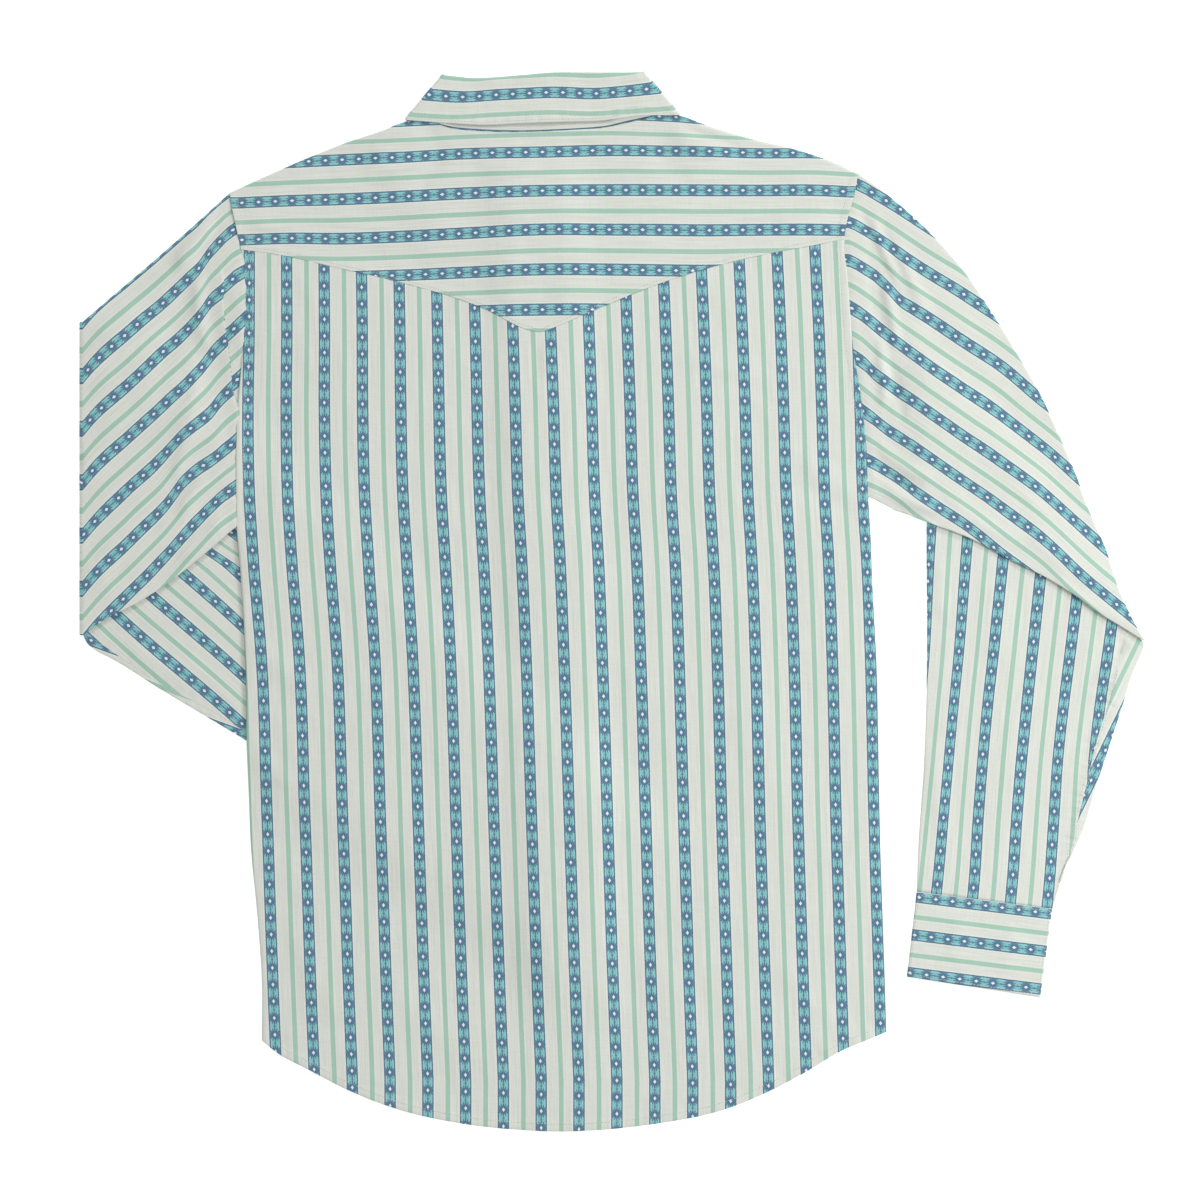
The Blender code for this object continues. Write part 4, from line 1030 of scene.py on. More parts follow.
def striped_cotton():
    """Cream cotton with woven stripes. The attribute "stripes" holds millimetres across and along
    them. The distance to the middle of the nearest band is a triangle wave of the first, and the
    distance to the nearest star a triangle wave of the second."""
    made = Nodes("striped_cotton")
    source = made.add("ShaderNodeAttribute", attribute_type="GEOMETRY", attribute_name="stripes")
    split = made.add("ShaderNodeSeparateXYZ")
    made.feed(split.inputs[0], source.outputs["Vector"])
    across, along = split.outputs[0], split.outputs[1]
    place = made.add("ShaderNodeTexCoord").outputs["Object"]

    wobble = made.noise(made.vector(across, along, 0.0), 0.7, 1.0)
    yarn = made.calc("SUBTRACT", across, YARN_WOBBLE)
    yarn = made.calc("MULTIPLY_ADD", wobble, 2 * YARN_WOBBLE, yarn)
    off_band = made.calc("PINGPONG", yarn, PITCH / 2)
    off_star = made.calc("PINGPONG", along, MOTIF / 2)
    off_green = made.calc("PINGPONG", made.calc("SUBTRACT", yarn, PITCH / 2 + GREEN_SHIFT), PITCH / 2)
    warp = made.noise(made.vector(made.times(across, 1.6), made.times(along, 0.02), 0.0), 1.0)
    weft = made.noise(made.vector(made.times(across, 0.05), made.times(along, 1.7), 5.0), 1.0)

    inside = made.soft_step(off_band, BAND / 2 + YARN_EDGE, BAND / 2 - YARN_EDGE)
    ground = cream_ground(made, place, warp, weft, off_band, off_green)
    colour = made.mix(inside, ground, starry_band(made, across, along, off_band, off_star))
    made.feed(made.shader.inputs["Base Color"], colour)

    # Surface: the weave's slubs and threads, slightly raised bands and small crumples
    slub = made.times(made.calc("ADD", warp, weft), 0.5)
    threads = made.times(made.calc("SINE", made.times(across, 9.0)), 0.12)
    threads = made.calc("MULTIPLY_ADD", made.calc("SINE", made.times(along, 9.0)), 0.12, threads)
    height = made.calc("ADD", made.calc("MULTIPLY_ADD", inside, 0.25, slub), threads)
    weave = made.bump(height, 0.00022, 0.7)
    crumple = made.noise(place, 75.0, 4.0, 0.55)
    made.feed(made.shader.inputs["Normal"], made.bump(crumple, 0.0011, 0.5, weave))
    made.feed(made.shader.inputs["Roughness"], made.calc("MULTIPLY_ADD", slub, 0.2, 0.72))
    made.shader.inputs["Sheen Weight"].default_value = 0.12
    made.shader.inputs["Sheen Roughness"].default_value = 0.45
    made.shader.inputs["Specular IOR Level"].default_value = 0.25
    return made.material


def sewing_thread():
    """Cream thread with a fine twist."""
    made = Nodes("sewing_thread")
    place = made.add("ShaderNodeTexCoord").outputs["Object"]
    twist = made.noise(place, 2600.0, 1.0)
    made.feed(made.shader.inputs["Base Color"], made.mix(twist, THREAD_SHADE, THREAD_PALE))
    made.feed(made.shader.inputs["Normal"], made.bump(twist, 0.0001, 0.6))
    made.feed(made.shader.inputs["Roughness"], made.calc("MULTIPLY_ADD", twist, 0.2, 0.55))
    made.shader.inputs["Sheen Weight"].default_value = 0.2
    return made.material


def pearl():
    """Pale cap whose tone drifts between warm and cool in cloudy bands, under a clear coat."""
    made = Nodes("pearl")
    place = made.add("ShaderNodeTexCoord").outputs["Object"]
    cloud = made.noise(place, 260.0, 3.0, 0.6)
    swirl = made.noise(made.vector(cloud, cloud, cloud), 3.0, 2.0)
    tone = made.mix(made.soft_step(cloud, 0.35, 0.65), PEARL_WARM, PEARL_COOL)
    tone = made.mix(made.soft_step(swirl, 0.45, 0.7), tone, PEARL_ROSE)
    made.feed(made.shader.inputs["Base Color"], tone)
    made.feed(made.shader.inputs["Roughness"], made.calc("MULTIPLY_ADD", cloud, 0.15, 0.14))
    made.feed(made.shader.inputs["Normal"], made.bump(cloud, 0.00012, 0.5))
    made.shader.inputs["Coat Weight"].default_value = 0.8
    made.shader.inputs["Coat Roughness"].default_value = 0.06
    return made.material


def snap_metal():
    """Pale metal with fine scuffs, which are duller and rougher."""
    made = Nodes("snap_metal")
    place = made.add("ShaderNodeTexCoord").outputs["Object"]
    scuff = made.noise(place, 1400.0, 3.0, 0.7)
    made.feed(made.shader.inputs["Base Color"], made.mix(scuff, METAL_DARK, METAL_PALE))
    made.feed(made.shader.inputs["Roughness"], made.calc("MULTIPLY_ADD", scuff, 0.22, 0.2))
    made.feed(made.shader.inputs["Normal"], made.bump(scuff, 0.00005, 0.4))
    made.shader.inputs["Metallic"].default_value = 1.0
    return made.material


COTTON = striped_cotton()
STITCH = sewing_thread()
PEARL = pearl()
METAL = snap_metal()


# Meshes -----------------------------------------------
UP = np.array([0.0, 0.0, 1.0])


def grid_quads(rows, columns, ring=False):
    """Faces of a grid of points, row by row, with a last column that joins each row's end to its
    start where the rows are rings."""
    index = np.arange(rows * columns).reshape(rows, columns)
    if ring:
        index = np.concatenate([index, index[:, :1]], axis=1)
    quads = np.stack([index[:-1, :-1], index[:-1, 1:], index[1:, 1:], index[1:, :-1]], axis=-1)
    return quads.reshape(-1, 4)


def facing(points, quads):
    """Each face's normal, twice as long as the face is large: the cross product of its diagonals."""
    corners = points.reshape(-1, 3)[quads]
    return np.cross(corners[:, 2] - corners[:, 0], corners[:, 3] - corners[:, 1])


def add_mesh(name, points, faces, materials):
    """A smooth-shaded piece from points in millimetres, riding on the garment's one body."""
    mesh = bpy.data.meshes.new(name)
    mesh.from_pydata((np.asarray(points).reshape(-1, 3) * MM).tolist(), [], faces)
    mesh.shade_smooth()
    for material in materials:
        mesh.materials.append(material)
    piece = bpy.data.objects.new(name, mesh)
    bpy.context.scene.collection.objects.link(piece)
    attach(piece, "root")
    return piece


def cloth(name, points, weave, node, outward, ring=False, wall=SHELL):
    """A shell of cloth whose outer face is a grid of points, made thick towards its other side.
    outward says which way the outer face looks: one direction, one for each row of points, or None
    for a tube, whose faces look away from its middle line."""
    rows, columns = points.shape[:2]
    quads = grid_quads(rows, columns, ring)
    normals = facing(points, quads)
    if outward is None:
        middle = points.mean(axis=1, keepdims=True) * np.ones((1, columns, 1))
        centres = points.reshape(-1, 3)[quads].mean(axis=1)
        lean = np.sum(normals * (centres - middle.reshape(-1, 3)[quads[:, 0]]))
    else:
        ways = np.broadcast_to(np.reshape(outward, (-1, 1, 3)), (rows, columns, 3)).reshape(-1, 3)
        lean = np.sum(normals * ways[quads[:, 0]])
    if lean < 0:
        quads = quads[:, ::-1]
    piece = add_mesh(name, points, quads.tolist(), [COTTON])
    stripes = np.stack([weave[0], weave[1], np.zeros_like(weave[0])], axis=-1).astype(np.float32)
    attribute = piece.data.attributes.new("stripes", "FLOAT_VECTOR", "POINT")
    attribute.data.foreach_set("vector", stripes.ravel())
    thick = piece.modifiers.new("ply", "SOLIDIFY")
    thick.thickness = wall * MM
    thick.offset = -1.0
    thick.use_even_offset = False
    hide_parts(node)
    return piece


TURNS = np.radians(np.linspace(0.0, 90.0, 6))  # angles of the lines round a turned edge
TURN_LENGTH = math.pi / 2 - TURNS - np.cos(TURNS)  # cloth that a turn takes up, per radius
TURN_ROOM = 14.0


def rolled(plan, axis, end, radius, depth):
    """Moves the first (end 0) or last (1) lines of a plan onto a quarter turn at its edge: line k
    lies radius (1 - cos t) inside the edge and depth (1 - sin t) below the sheet. depth may change
    along the edge. The lines after them, up to TURN_ROOM away, are drawn in behind the turn.
    Returns the plan and the drop of every point."""
    plan = np.moveaxis(plan, axis, 0)
    if end:
        plan = plan[::-1]
    plan = plan.copy()
    inward = plan[len(TURNS)] - plan[0]
    inward /= np.linalg.norm(inward, axis=-1, keepdims=True)
    edge = plan[0].copy()
    rest = plan[len(TURNS) :] - edge
    away = np.linalg.norm(rest, axis=-1, keepdims=True)
    squeezed = radius + away * (1 - radius / TURN_ROOM)
    plan[len(TURNS) :] = edge + rest * np.where(away < TURN_ROOM, squeezed / away, 1.0)
    turns = TURNS[:, None]
    plan[: len(TURNS)] = edge + inward * (radius * (1 - np.cos(turns)))[..., None]
    drop = np.zeros(plan.shape[:2])
    drop[: len(TURNS)] = -np.asarray(depth) * (1 - np.sin(turns))
    if end:
        plan, drop = plan[::-1], drop[::-1]
    return np.moveaxis(plan, 0, axis), np.moveaxis(drop, 0, axis)


def with_border(fractions, first, last):
    """Fractions with room for a turned edge at either end, whose lines are moved afterwards."""
    extra = len(TURNS) - 1
    before = np.zeros(extra if first else 0)
    after = np.ones(extra if last else 0)
    return np.concatenate([before, fractions, after])


def spread(count, crowd=0.0):
    """count fractions from 0 to 1, closer together towards both ends as crowd goes to 1: t less
    crowd sin(2 pi t) / (2 pi)."""
    even = np.linspace(0.0, 1.0, count)
    return even - crowd * np.sin(2 * math.pi * even) / (2 * math.pi)


def raised(plan, z):
    """A plan of x and y with z beside them."""
    return np.concatenate([plan, np.broadcast_to(z, plan.shape[:2])[..., None]], axis=-1)


def lengths_along(points):
    """How far each point of a line lies from its start."""
    return np.concatenate([[0.0], np.cumsum(np.linalg.norm(np.diff(points, axis=0), axis=1))])


# Body -------------------------------------------------
ACROSS, FRONT_X, FRONT_Y, YOKE_X, YOKE_Y = np.array(BODY_COLUMNS).T
BACK_GRID = (150, 175, 0.35)  # columns, rows and how much both crowd towards the edges
YOKE_GRID = (150, 46, 0.3)
FRONT_GRID = (70, 110, 26)  # columns, and rows below and above the yoke's seam
BAND_GRID = (20, 150, 16)
SHOULDER_FADE = 0.03  # share of the body's width in which the shoulder's roll starts
FRONT_SAG, FRONT_SAG_SIZE = 0.4, 60.0  # the fronts' unevenness, where there is room under them


def body_plan(across, rows, hem_lift=0.0):
    """Points of the body from the hem to the yoke's seam: the patch between the hem, the seam and the
    two side edges."""
    low_left, high_left = HEM[0][1], YOKE_SEAM[0][1]
    low_right, high_right = HEM[-1][1], YOKE_SEAM[-1][1]
    left = side_points(low_left + rows * (high_left - low_left), 0)
    right = side_points(low_right + rows * (high_right - low_right), 1)
    x_low = left[0, 0] + across * (right[0, 0] - left[0, 0])
    x_high = left[-1, 0] + across * (right[-1, 0] - left[-1, 0])
    low = np.stack([x_low, height_at(HEM, x_low) + hem_lift], axis=1)
    high = np.stack([x_high, yoke_seam_height(x_high)], axis=1)
    return patch(low, high, left, right, across, rows)


def side_turn(y, armpit):
    """How far a side edge is turned under: not at the armhole, fully below it."""
    return smooth((armpit - y) / ARMPIT_FADE)


def back_panel():
    """The back: its plan with a turned hem and folded sides, at the height of back_top less each
    edge's drop. The stripes go on round the folded sides."""
    columns, rows, crowd = BACK_GRID
    across = with_border(spread(columns, crowd), True, True)
    plan = body_plan(across, with_border(spread(rows, crowd), True, False))
    plan, hem = rolled(plan, 0, 0, HEM_ROLL, HEM_DROP)
    left_turn = side_turn(plan[:, 0, 1], LEFT_ARMPIT)
    right_turn = side_turn(plan[:, -1, 1], RIGHT_ARMPIT)
    plan, left = rolled(plan, 1, 0, ROLL, LIP + (ROLL - LIP) * left_turn)
    plan, right = rolled(plan, 1, 1, ROLL, LIP + (ROLL - LIP) * right_turn)
    x, y = plan[..., 0], plan[..., 1]
    z = np.maximum(back_top(x, y) + np.minimum(np.minimum(left, right), hem), FLOOR_ROOM)
    cloth_x = x.copy()
    cloth_x[:, : len(TURNS)] -= ROLL * TURN_LENGTH * left_turn[:, None]
    cloth_x[:, -len(TURNS) :] += ROLL * TURN_LENGTH[::-1] * right_turn[:, None]
    piece = cloth("back_panel_cloth", raised(plan, z), back_weave(cloth_x, y), "back_panel", UP)


def yoke_plan(across, rows, lap):
    """The patch between the yoke's seam, moved down by its lap, the top edge of BODY_COLUMNS and the
    two armholes."""
    x = YOKE_SEAM[0][0] + across * (YOKE_SEAM[-1][0] - YOKE_SEAM[0][0])
    bottom = np.stack([x, yoke_seam_height(x) - lap], axis=1)
    top = np.stack([eased(across, ACROSS, YOKE_X), eased(across, ACROSS, YOKE_Y)], axis=1)
    left = side_points(bottom[0, 1] + rows * (top[0, 1] - bottom[0, 1]), 0)
    right = side_points(bottom[-1, 1] + rows * (top[-1, 1] - bottom[-1, 1]), 1)
    return patch(bottom, top, left, right, across, rows)


def back_yoke():
    """The yoke: its plan with every edge turned and the shoulders folded over, at the height of
    yoke_top less each edge's drop."""
    columns, rows, crowd = YOKE_GRID
    across = with_border(spread(columns, crowd), True, True)
    plan = yoke_plan(across, with_border(spread(rows, crowd), True, True), YOKE_LAP)
    plan, low = rolled(plan, 0, 0, LIP, LIP)
    past_left = smooth((across - LEFT_NECK + SHOULDER_FADE) / SHOULDER_FADE)
    past_right = smooth((RIGHT_NECK + SHOULDER_FADE - across) / SHOULDER_FADE)
    plan, high = rolled(plan, 0, 1, ROLL, LIP + (ROLL - LIP) * (1 - past_left * past_right))
    plan, left = rolled(plan, 1, 0, LIP, LIP)
    plan, right = rolled(plan, 1, 1, LIP, LIP)
    x, y = plan[..., 0], plan[..., 1]
    z = yoke_top(x, y) + np.minimum(np.minimum(low, high), np.minimum(left, right))
    z = np.maximum(z, FLOOR_ROOM)
    piece = cloth("back_yoke_cloth", raised(plan, z), yoke_weave(x, y), "back_yoke", UP)


def front_plan(first, last, grid, end=None, armpit=0.0):
    """The plan of what lies under the back: its lower part follows the back's own grid to the yoke's
    seam, and its upper part is the patch from there to the shoulder and the neck."""
    columns, lower_rows, upper_rows = grid
    share = np.linspace(0.0, 1.0, columns)
    across = first + share * (last - first)
    lower = body_plan(across, np.linspace(0.0, 1.0, lower_rows), HEM_INSET)
    top = np.stack([np.interp(across, ACROSS, FRONT_X), np.interp(across, ACROSS, FRONT_Y)], axis=1)
    shoulder = (across < LEFT_NECK - 0.001) | (across > RIGHT_NECK + 0.001)
    top[shoulder, 1] -= FRONT_INSET
    rows = np.linspace(0.0, 1.0, upper_rows)
    seam = lower[-1]
    left = seam[0] + rows[:, None] * (top[0] - seam[0])
    right = seam[-1] + rows[:, None] * (top[-1] - seam[-1])
    if end == 0:
        left = side_points(left[:, 1], 0)
    if end == 1:
        right = side_points(right[:, 1], 1)
    plan = np.concatenate([lower, patch(seam, top, left, right, share, rows)[1:]])
    if end is not None:
        inset = FRONT_INSET * side_turn(plan[:, -end, 1], armpit)
        plan[:, -end, 0] += inset if end == 0 else -inset
    return plan


def front(name, node, first, last, end, armpit, floor_at):
    """A front between two places across the body, lying on its floor with a ripple that fades out
    where the floor is the table itself."""
    plan = front_plan(first, last, FRONT_GRID, end, armpit)
    plan[:, end - 1, 0] += -GAP / 2 if end == 0 else GAP / 2
    x, y = plan[..., 0], plan[..., 1]
    ground = floor_at(x, y)
    z = ground + np.minimum(ground, FRONT_SAG) * (0.5 + 0.5 * ripple(x, y, FRONT_SAG_SIZE, 21 + end))
    piece = cloth(name, raised(plan, z), back_weave(x, y), node, -UP)


def front_band(name, node, floor_at):
    """A front band on its floor, with one blue band down its middle."""
    plan = front_plan(LEFT_BAND_EDGE, RIGHT_BAND_EDGE, BAND_GRID)
    plan[:, 0, 0] += GAP / 2
    plan[:, -1, 0] -= GAP / 2
    x, y = plan[..., 0], plan[..., 1]
    piece = cloth(name, raised(plan, floor_at(x, y)), (x - axis_x(y), -y), node, -UP)


# Collar -----------------------------------------------
def collar_stations(inner_column, ends=False):
    """Foot, fold and turn of the collar's cross-sections in order: turned 180 degrees on the fronts,
    0 on the back, and in between at the neck's sides."""
    stations = []
    stretches = (
        (COLLAR_LEFT, 180.0, (135.0, 90.0, 45.0)),
        (COLLAR_BACK, 0.0, (45.0, 90.0, 135.0)),
        (COLLAR_RIGHT, 180.0, ()),
    )
    for table, turn, turns in stretches:
        for row in table:
            stations.append((row[inner_column : inner_column + 2], row[:2], turn))
        corner = table[-1]
        for part_way in turns:
            stations.append((corner[inner_column : inner_column + 2], corner[:2], part_way))
    if ends:
        for order, sign in ((0, 1.0), (-1, -1.0)):
            foot, fold, turn = stations[order]
            end_x = AXIS_TOP[0] + STAND_OVERLAP * sign
            extra = ((end_x, foot[1]), (end_x, fold[1] + STAND_END_RISE), turn)
            stations.insert(0 if order == 0 else len(stations), extra)
    return stations


def collar_frames(stations, fine):
    """Foot, fold, the way from foot to fold, the outward side and the turn, at fine places from each
    station to the next. The outward side is up times the turn's cosine plus aside times its sine."""
    index = np.arange(len(stations))
    places = np.linspace(0, len(stations) - 1, (len(stations) - 1) * fine + 1)
    columns = np.array([[*foot, *fold, turn] for foot, fold, turn in stations], float)
    plain = np.stack([np.interp(places, index, column) for column in columns.T], axis=1)
    softer = np.stack([eased(places, index, column) for column in columns[:, :4].T], axis=1)
    turn = plain[:, 4]
    lies_flat = (turn < 1.0) | (turn > 179.0)
    chosen = np.where(lies_flat[:, None], softer, plain[:, :4])
    foot, fold = chosen[:, :2], chosen[:, 2:]
    climb = fold - foot
    climb /= np.linalg.norm(climb, axis=1, keepdims=True)
    climb = np.concatenate([climb, np.zeros((len(climb), 1))], axis=1)
    aside = np.stack([-climb[:, 1], climb[:, 0], np.zeros(len(climb))], axis=-1)
    aside[len(places) // 2 :] *= -1
    angle = np.radians(turn)[:, None]
    outward = np.cos(angle) * UP + np.sin(angle) * aside
    return foot, fold, climb, outward, turn


LEAF_WAVES = (
    # x along the back of the neck, width, rise at the fold, rise at the edge
    (-118, 16, -0.5, 0.5),
    (-96, 12, 0.5, -0.4),
    (-60, 18, 0.3, 0.6),
    (-22, 14, -0.3, -0.3),
    (4, 10, -0.4, 0.5),
    (20, 9, 0.6, 0.2),
)


LEAF_GATHERS = ((1.05, 0.4), (0.71, 2), (0.43, 0))  # waves per mm and phases
LEAF_RIPPLE, LEAF_RIPPLE_SIZE = 0.2, 24.0
LEAF_FINE, STAND_FINE = 12, 10  # cross-sections from each station of the collar to the next
STAND_ROWS, STAND_CROWD = 40, 1.6
FOLD_ARC = np.radians(np.linspace(12.0, 150.0, 10))  # angles of the lines round the leaf's fold
WING_LIFT = 0.35  # the leaf's front parts lie this far above the floor
EDGE_LIFT = 0.8  # the leaf's edge stands off the stand below it
STAND_UNDER, STAND_SINKS = 3.0, 1.3  # how far the stand's foot goes under the yoke's edge, and down
STAND_SWELL, STAND_GROOVE = 0.8, 0.6  # it swells up to the leaf's edge and dips beneath that
STAND_TOP = 0.98  # the stand ends this far up towards the fold
STAND_EDGE = BAND / 2 - 0.45  # its foot lies this far from the middle of a blue band


def leaf_relief(x, share):
    """Waves of the leaf, each a bell along the neck that changes evenly from its fold to its edge."""
    total = np.zeros(np.broadcast(x, share).shape)
    for middle, width, fold_rise, edge_rise in LEAF_WAVES:
        bell = np.exp(-(((x - middle) / width) ** 2))
        total = total + bell * (edge_rise + share * (fold_rise - edge_rise))
    return total


def leaf_gathers(along, inset):
    """Short uneven gathers between the leaf's two stitched rows: the mean of three sine waves along
    the edge, times a bell that is widest midway between the rows."""
    wave = sum(np.sin(along * rate + phase) for rate, phase in LEAF_GATHERS) / len(LEAF_GATHERS)
    return (0.55 * wave + 0.35) * np.exp(-(((inset - 4.6) / 3.6) ** 2))


def leaf_along(foot, turn):
    """Length of cloth along the leaf's edge: its steps, and a part of a circle where it turns over."""
    steps = np.linalg.norm(np.diff(foot, axis=0), axis=1)
    turned_over = np.abs(np.diff(turn)) * math.pi / 180 * LEAF_TURN
    return np.concatenate([[0.0], np.cumsum(steps + turned_over)])


def leaf_rise(x, along, inset, length, turn):
    """How far the leaf's outer face stands off its plain level: on the back the waves, an uneven
    ripple, the gathers and a bell at the edge; on the fronts WING_LIFT less than nothing."""
    on_back = 1 - smooth(turn / 60.0)
    share = inset / length
    rise = leaf_relief(x, share) + LEAF_RIPPLE * ripple(along, share * 40.0, LEAF_RIPPLE_SIZE, 31)
    rise = rise + leaf_gathers(along, inset) + EDGE_LIFT * np.exp(-((inset / 7.0) ** 2))
    return np.maximum(rise * on_back, -0.5) - WING_LIFT * (1 - on_back)


def leaf_point(foot, climb, outward, inset, lift):
    """The point inset from the foot along the way to the fold, and lift outwards from the height
    about which the collar turns over."""
    flat = foot + climb[:, :2] * np.reshape(inset, (-1, 1))
    point = np.concatenate([flat, np.full((len(flat), 1), COLLAR_MIDDLE)], axis=1)
    return point + outward * lift[:, None]


def collar_leaf():
    """The leaf from its edge to its fold and over the fold. Each cross-section is a turned edge (a
    quarter circle of radius LIP), a straight run from foot to fold and an arc round the fold; it
    stands on the section's frame, which turns over at the sides of the neck, and leaf_rise is added
    along the frame's outward side."""
    foot, fold, climb, outward, turn = collar_frames(collar_stations(COLLAR_EDGE), LEAF_FINE)
    length = np.linalg.norm(fold - foot, axis=1)
    on_front = 1 - smooth((turn - 135.0) / 45.0)
    band = eased(np.clip(fold[:, 0], LEAF_BANDS[0][0], LEAF_BANDS[-1][0]), *np.array(LEAF_BANDS).T)
    along = leaf_along(foot, turn)
    radius = FOLD_RADIUS + PLY / 2
    lines = [(LIP * (1 - math.cos(angle)), -LIP * (1 - math.sin(angle)), 0.0) for angle in TURNS]
    lines += [(share, None, 0.0) for share in np.linspace(0.0, 1.0, 30)[1:]]
    lines += [(1.0, None, angle) for angle in FOLD_ARC]
    grid, across = [], []
    for place, drop, angle in lines:
        inset = LIP + place * (length - LIP) if drop is None else np.full(length.shape, place)
        rise = leaf_rise(foot[:, 0] + climb[:, 0] * inset, along, inset, length, turn)
        lift = LEAF_TURN - FOLD_RADIUS + (radius + rise) * math.cos(angle) + (drop or 0.0)
        point = leaf_point(foot, climb, outward, inset, lift)
        grid.append(point + climb * (radius * math.sin(angle)))
        depth = length - inset - radius * angle
        level_depth = depth * (1 + on_front * (np.abs(fold[:, 1] - foot[:, 1]) / length - 1))
        across.append(level_depth - band)
    grid, across = np.stack(grid, axis=1), np.stack(across, axis=1)
    along = along[:, None] * (1 - on_front[:, None]) + grid[..., 0] * on_front[:, None]
    piece = cloth("collar_leaf_cloth", grid, (across, along), "collar_leaf", outward)


def collar_stand():
    """The stand from its foot to just below the leaf's fold. A point at share t of the way lies
    STAND_TURN outwards from the section's frame; below the leaf's edge it swells by a half sine, it
    dips by a narrow bell at that edge, and it sinks by (1 - t)^6 under the yoke."""
    foot, fold, _, outward, turn = collar_frames(collar_stations(COLLAR_SEAM, True), STAND_FINE)
    edge = collar_frames(collar_stations(COLLAR_EDGE, True), STAND_FINE)[0]
    length = np.linalg.norm(fold - foot, axis=1)
    shown = np.linalg.norm(edge - foot, axis=1)
    left_half = np.arange(len(foot)) < len(foot) // 2
    on_front = smooth((turn - 135.0) / 45.0)
    on_back = 1 - smooth(turn / 30.0)
    grid, across = [], []
    for share in np.linspace(0.0, 1.0, STAND_ROWS) ** STAND_CROWD:
        foot_share = (1 - share) ** 6
        reach = share * STAND_TOP - foot_share * STAND_UNDER / length * on_back
        part_shown = reach * length / np.maximum(shown, 1.0)
        swell = STAND_SWELL * np.sin(math.pi * np.clip(part_shown, 0.0, 1.0))
        swell = swell - STAND_GROOVE * np.exp(-(((reach * length - shown) / 0.8) ** 2))
        flat = foot + reach[:, None] * (fold - foot)
        x, y = flat.T
        floors = np.where(left_half, outer_front_floor(x, y), inner_front_floor(x, y))
        level = COLLAR_MIDDLE + on_front * (floors + PLY / 2 + STAND_TURN - COLLAR_MIDDLE)
        lift = STAND_TURN + PLY / 2 + (swell - STAND_SINKS * foot_share) * on_back
        grid.append(np.concatenate([flat, level[:, None]], axis=1) + outward * lift[:, None])
        across.append(reach * length + STAND_EDGE)
    grid, across = np.stack(grid, axis=1), np.stack(across, axis=1)
    weave = across, lengths_along(foot)[:, None] * np.ones_like(across)
    piece = cloth("collar_stand_cloth", grid, weave, "collar_stand", outward)


# Sleeves ----------------------------------------------
ARC = 7  # points round each edge of a flattened tube
LOWEST_RELIEF = -1.1  # the two faces of a flattened sleeve nearly touch here
TUCK_UNDER, TUCK_FADE = 1.6, 9.0  # the upper face slides this far under the body, fading out
LEFT_TUCK, RIGHT_TUCK = (-0.5, 0, 4), (-0.75, 0, 6)  # shelves beside the armholes
FOREARM_FOLD = (0.4, 3.5, 1.5)  # and beside the right forearm's seam
PLEAT_TOP, PLEAT_FOOT = (270, 25), (140, 12)  # where the pleat's fold ends, and its fades
PLEAT_RISE, PLEAT_WIDTH = 1.8, 7.0  # its fold stands this high
PLEAT_DIP, PLEAT_SLOPE = 1.1, (2.0, 11.0)  # and the cloth beside it lies lower, and comes back up
PLEAT_LAP_WIDTH = 6.0
LEFT_FORE_RELIEF = (-0.6, 0.75)  # the lowest and highest relief under the body
UNDER_ELBOW_RELIEF = (-0.4, 0.5)  # and under the right upper sleeve
SLEEVE_GRID, RIGHT_UPPER_GRID = (110, 62), (96, 62)  # rows and columns
RIGHT_LOWER_GRID, CUFF_GRID = (130, 60), (44, 54)
CUFF_FULLNESS = 0.22


def inset_ends(plan, distance):
    """Moves the first and last point of each row towards each other."""
    plan = plan.copy()
    for end, beside in ((0, 1), (-1, -2)):
        step = plan[:, beside] - plan[:, end]
        plan[:, end] += step / np.linalg.norm(step, axis=1, keepdims=True) * distance
    return plan


def sleeve_plan(start, stop, outer, inner, grid, crowd=1.0):
    """Rows of points of a flattened sleeve: the patch between its start and stop rows and its outer
    and inner edges, drawn in by the roundness of those edges. The rows crowd towards the start."""
    rows = np.linspace(0.0, 1.0, grid[0]) ** crowd
    columns = np.linspace(0.0, 1.0, grid[1])
    across = path(start, columns), path(stop, columns)
    plan = patch(*across, path(outer, rows), path(inner, rows), columns, rows)
    return inset_ends(plan, SLEEVE_HALF)


def seamed(plan, past):
    """Slides each row's points along the row until two neighbouring ones lie SEAM_HALF to either side
    of a seam, where past changes its sign. The points before and after them keep even steps."""
    rows, columns = plan.shape[:2]
    side = past(plan[..., 0], plan[..., 1])
    crossed = side[:, :-1] * side[:, 1:] < 0
    at = np.argmax(crossed, axis=1)
    each = np.arange(rows)
    share = side[each, at] / (side[each, at] - side[each, at + 1] + 1e-12)
    place = np.where(crossed.any(axis=1), at + share, np.nan)
    known = ~np.isnan(place)
    place = np.interp(each, each[known], place[known])
    middle = int(np.clip(round(float(np.median(place))), 2, columns - 4))
    width = np.linalg.norm(plan[:, middle + 1] - plan[:, middle], axis=-1)
    hair = SEAM_HALF / width
    low = np.clip(place - hair, 0.6, None)[:, None]
    high = np.clip(place + hair, None, columns - 1.6)[:, None]
    index = np.arange(columns)[None]
    spread_to = np.where(
        index <= middle,
        low * index / middle,
        high + (index - middle - 1) * (columns - 1 - high) / (columns - 2 - middle),
    )
    whole = np.clip(spread_to.astype(int), 0, columns - 2)
    part = (spread_to - whole)[..., None]
    return plan[each[:, None], whole] * (1 - part) + plan[each[:, None], whole + 1] * part


def past_left_seam(x, y):
    """How far a point lies below the left sleeve's seam."""
    seam = np.array(LEFT_SEAM)
    return eased(x, seam[:, 0], seam[:, 1]) - y


def past_right_seam(x, y):
    """How far a point lies to the right of the right sleeve's seam."""
    seam = np.array(RIGHT_SEAM)
    return x - eased(y, seam[::-1, 1], seam[::-1, 0])


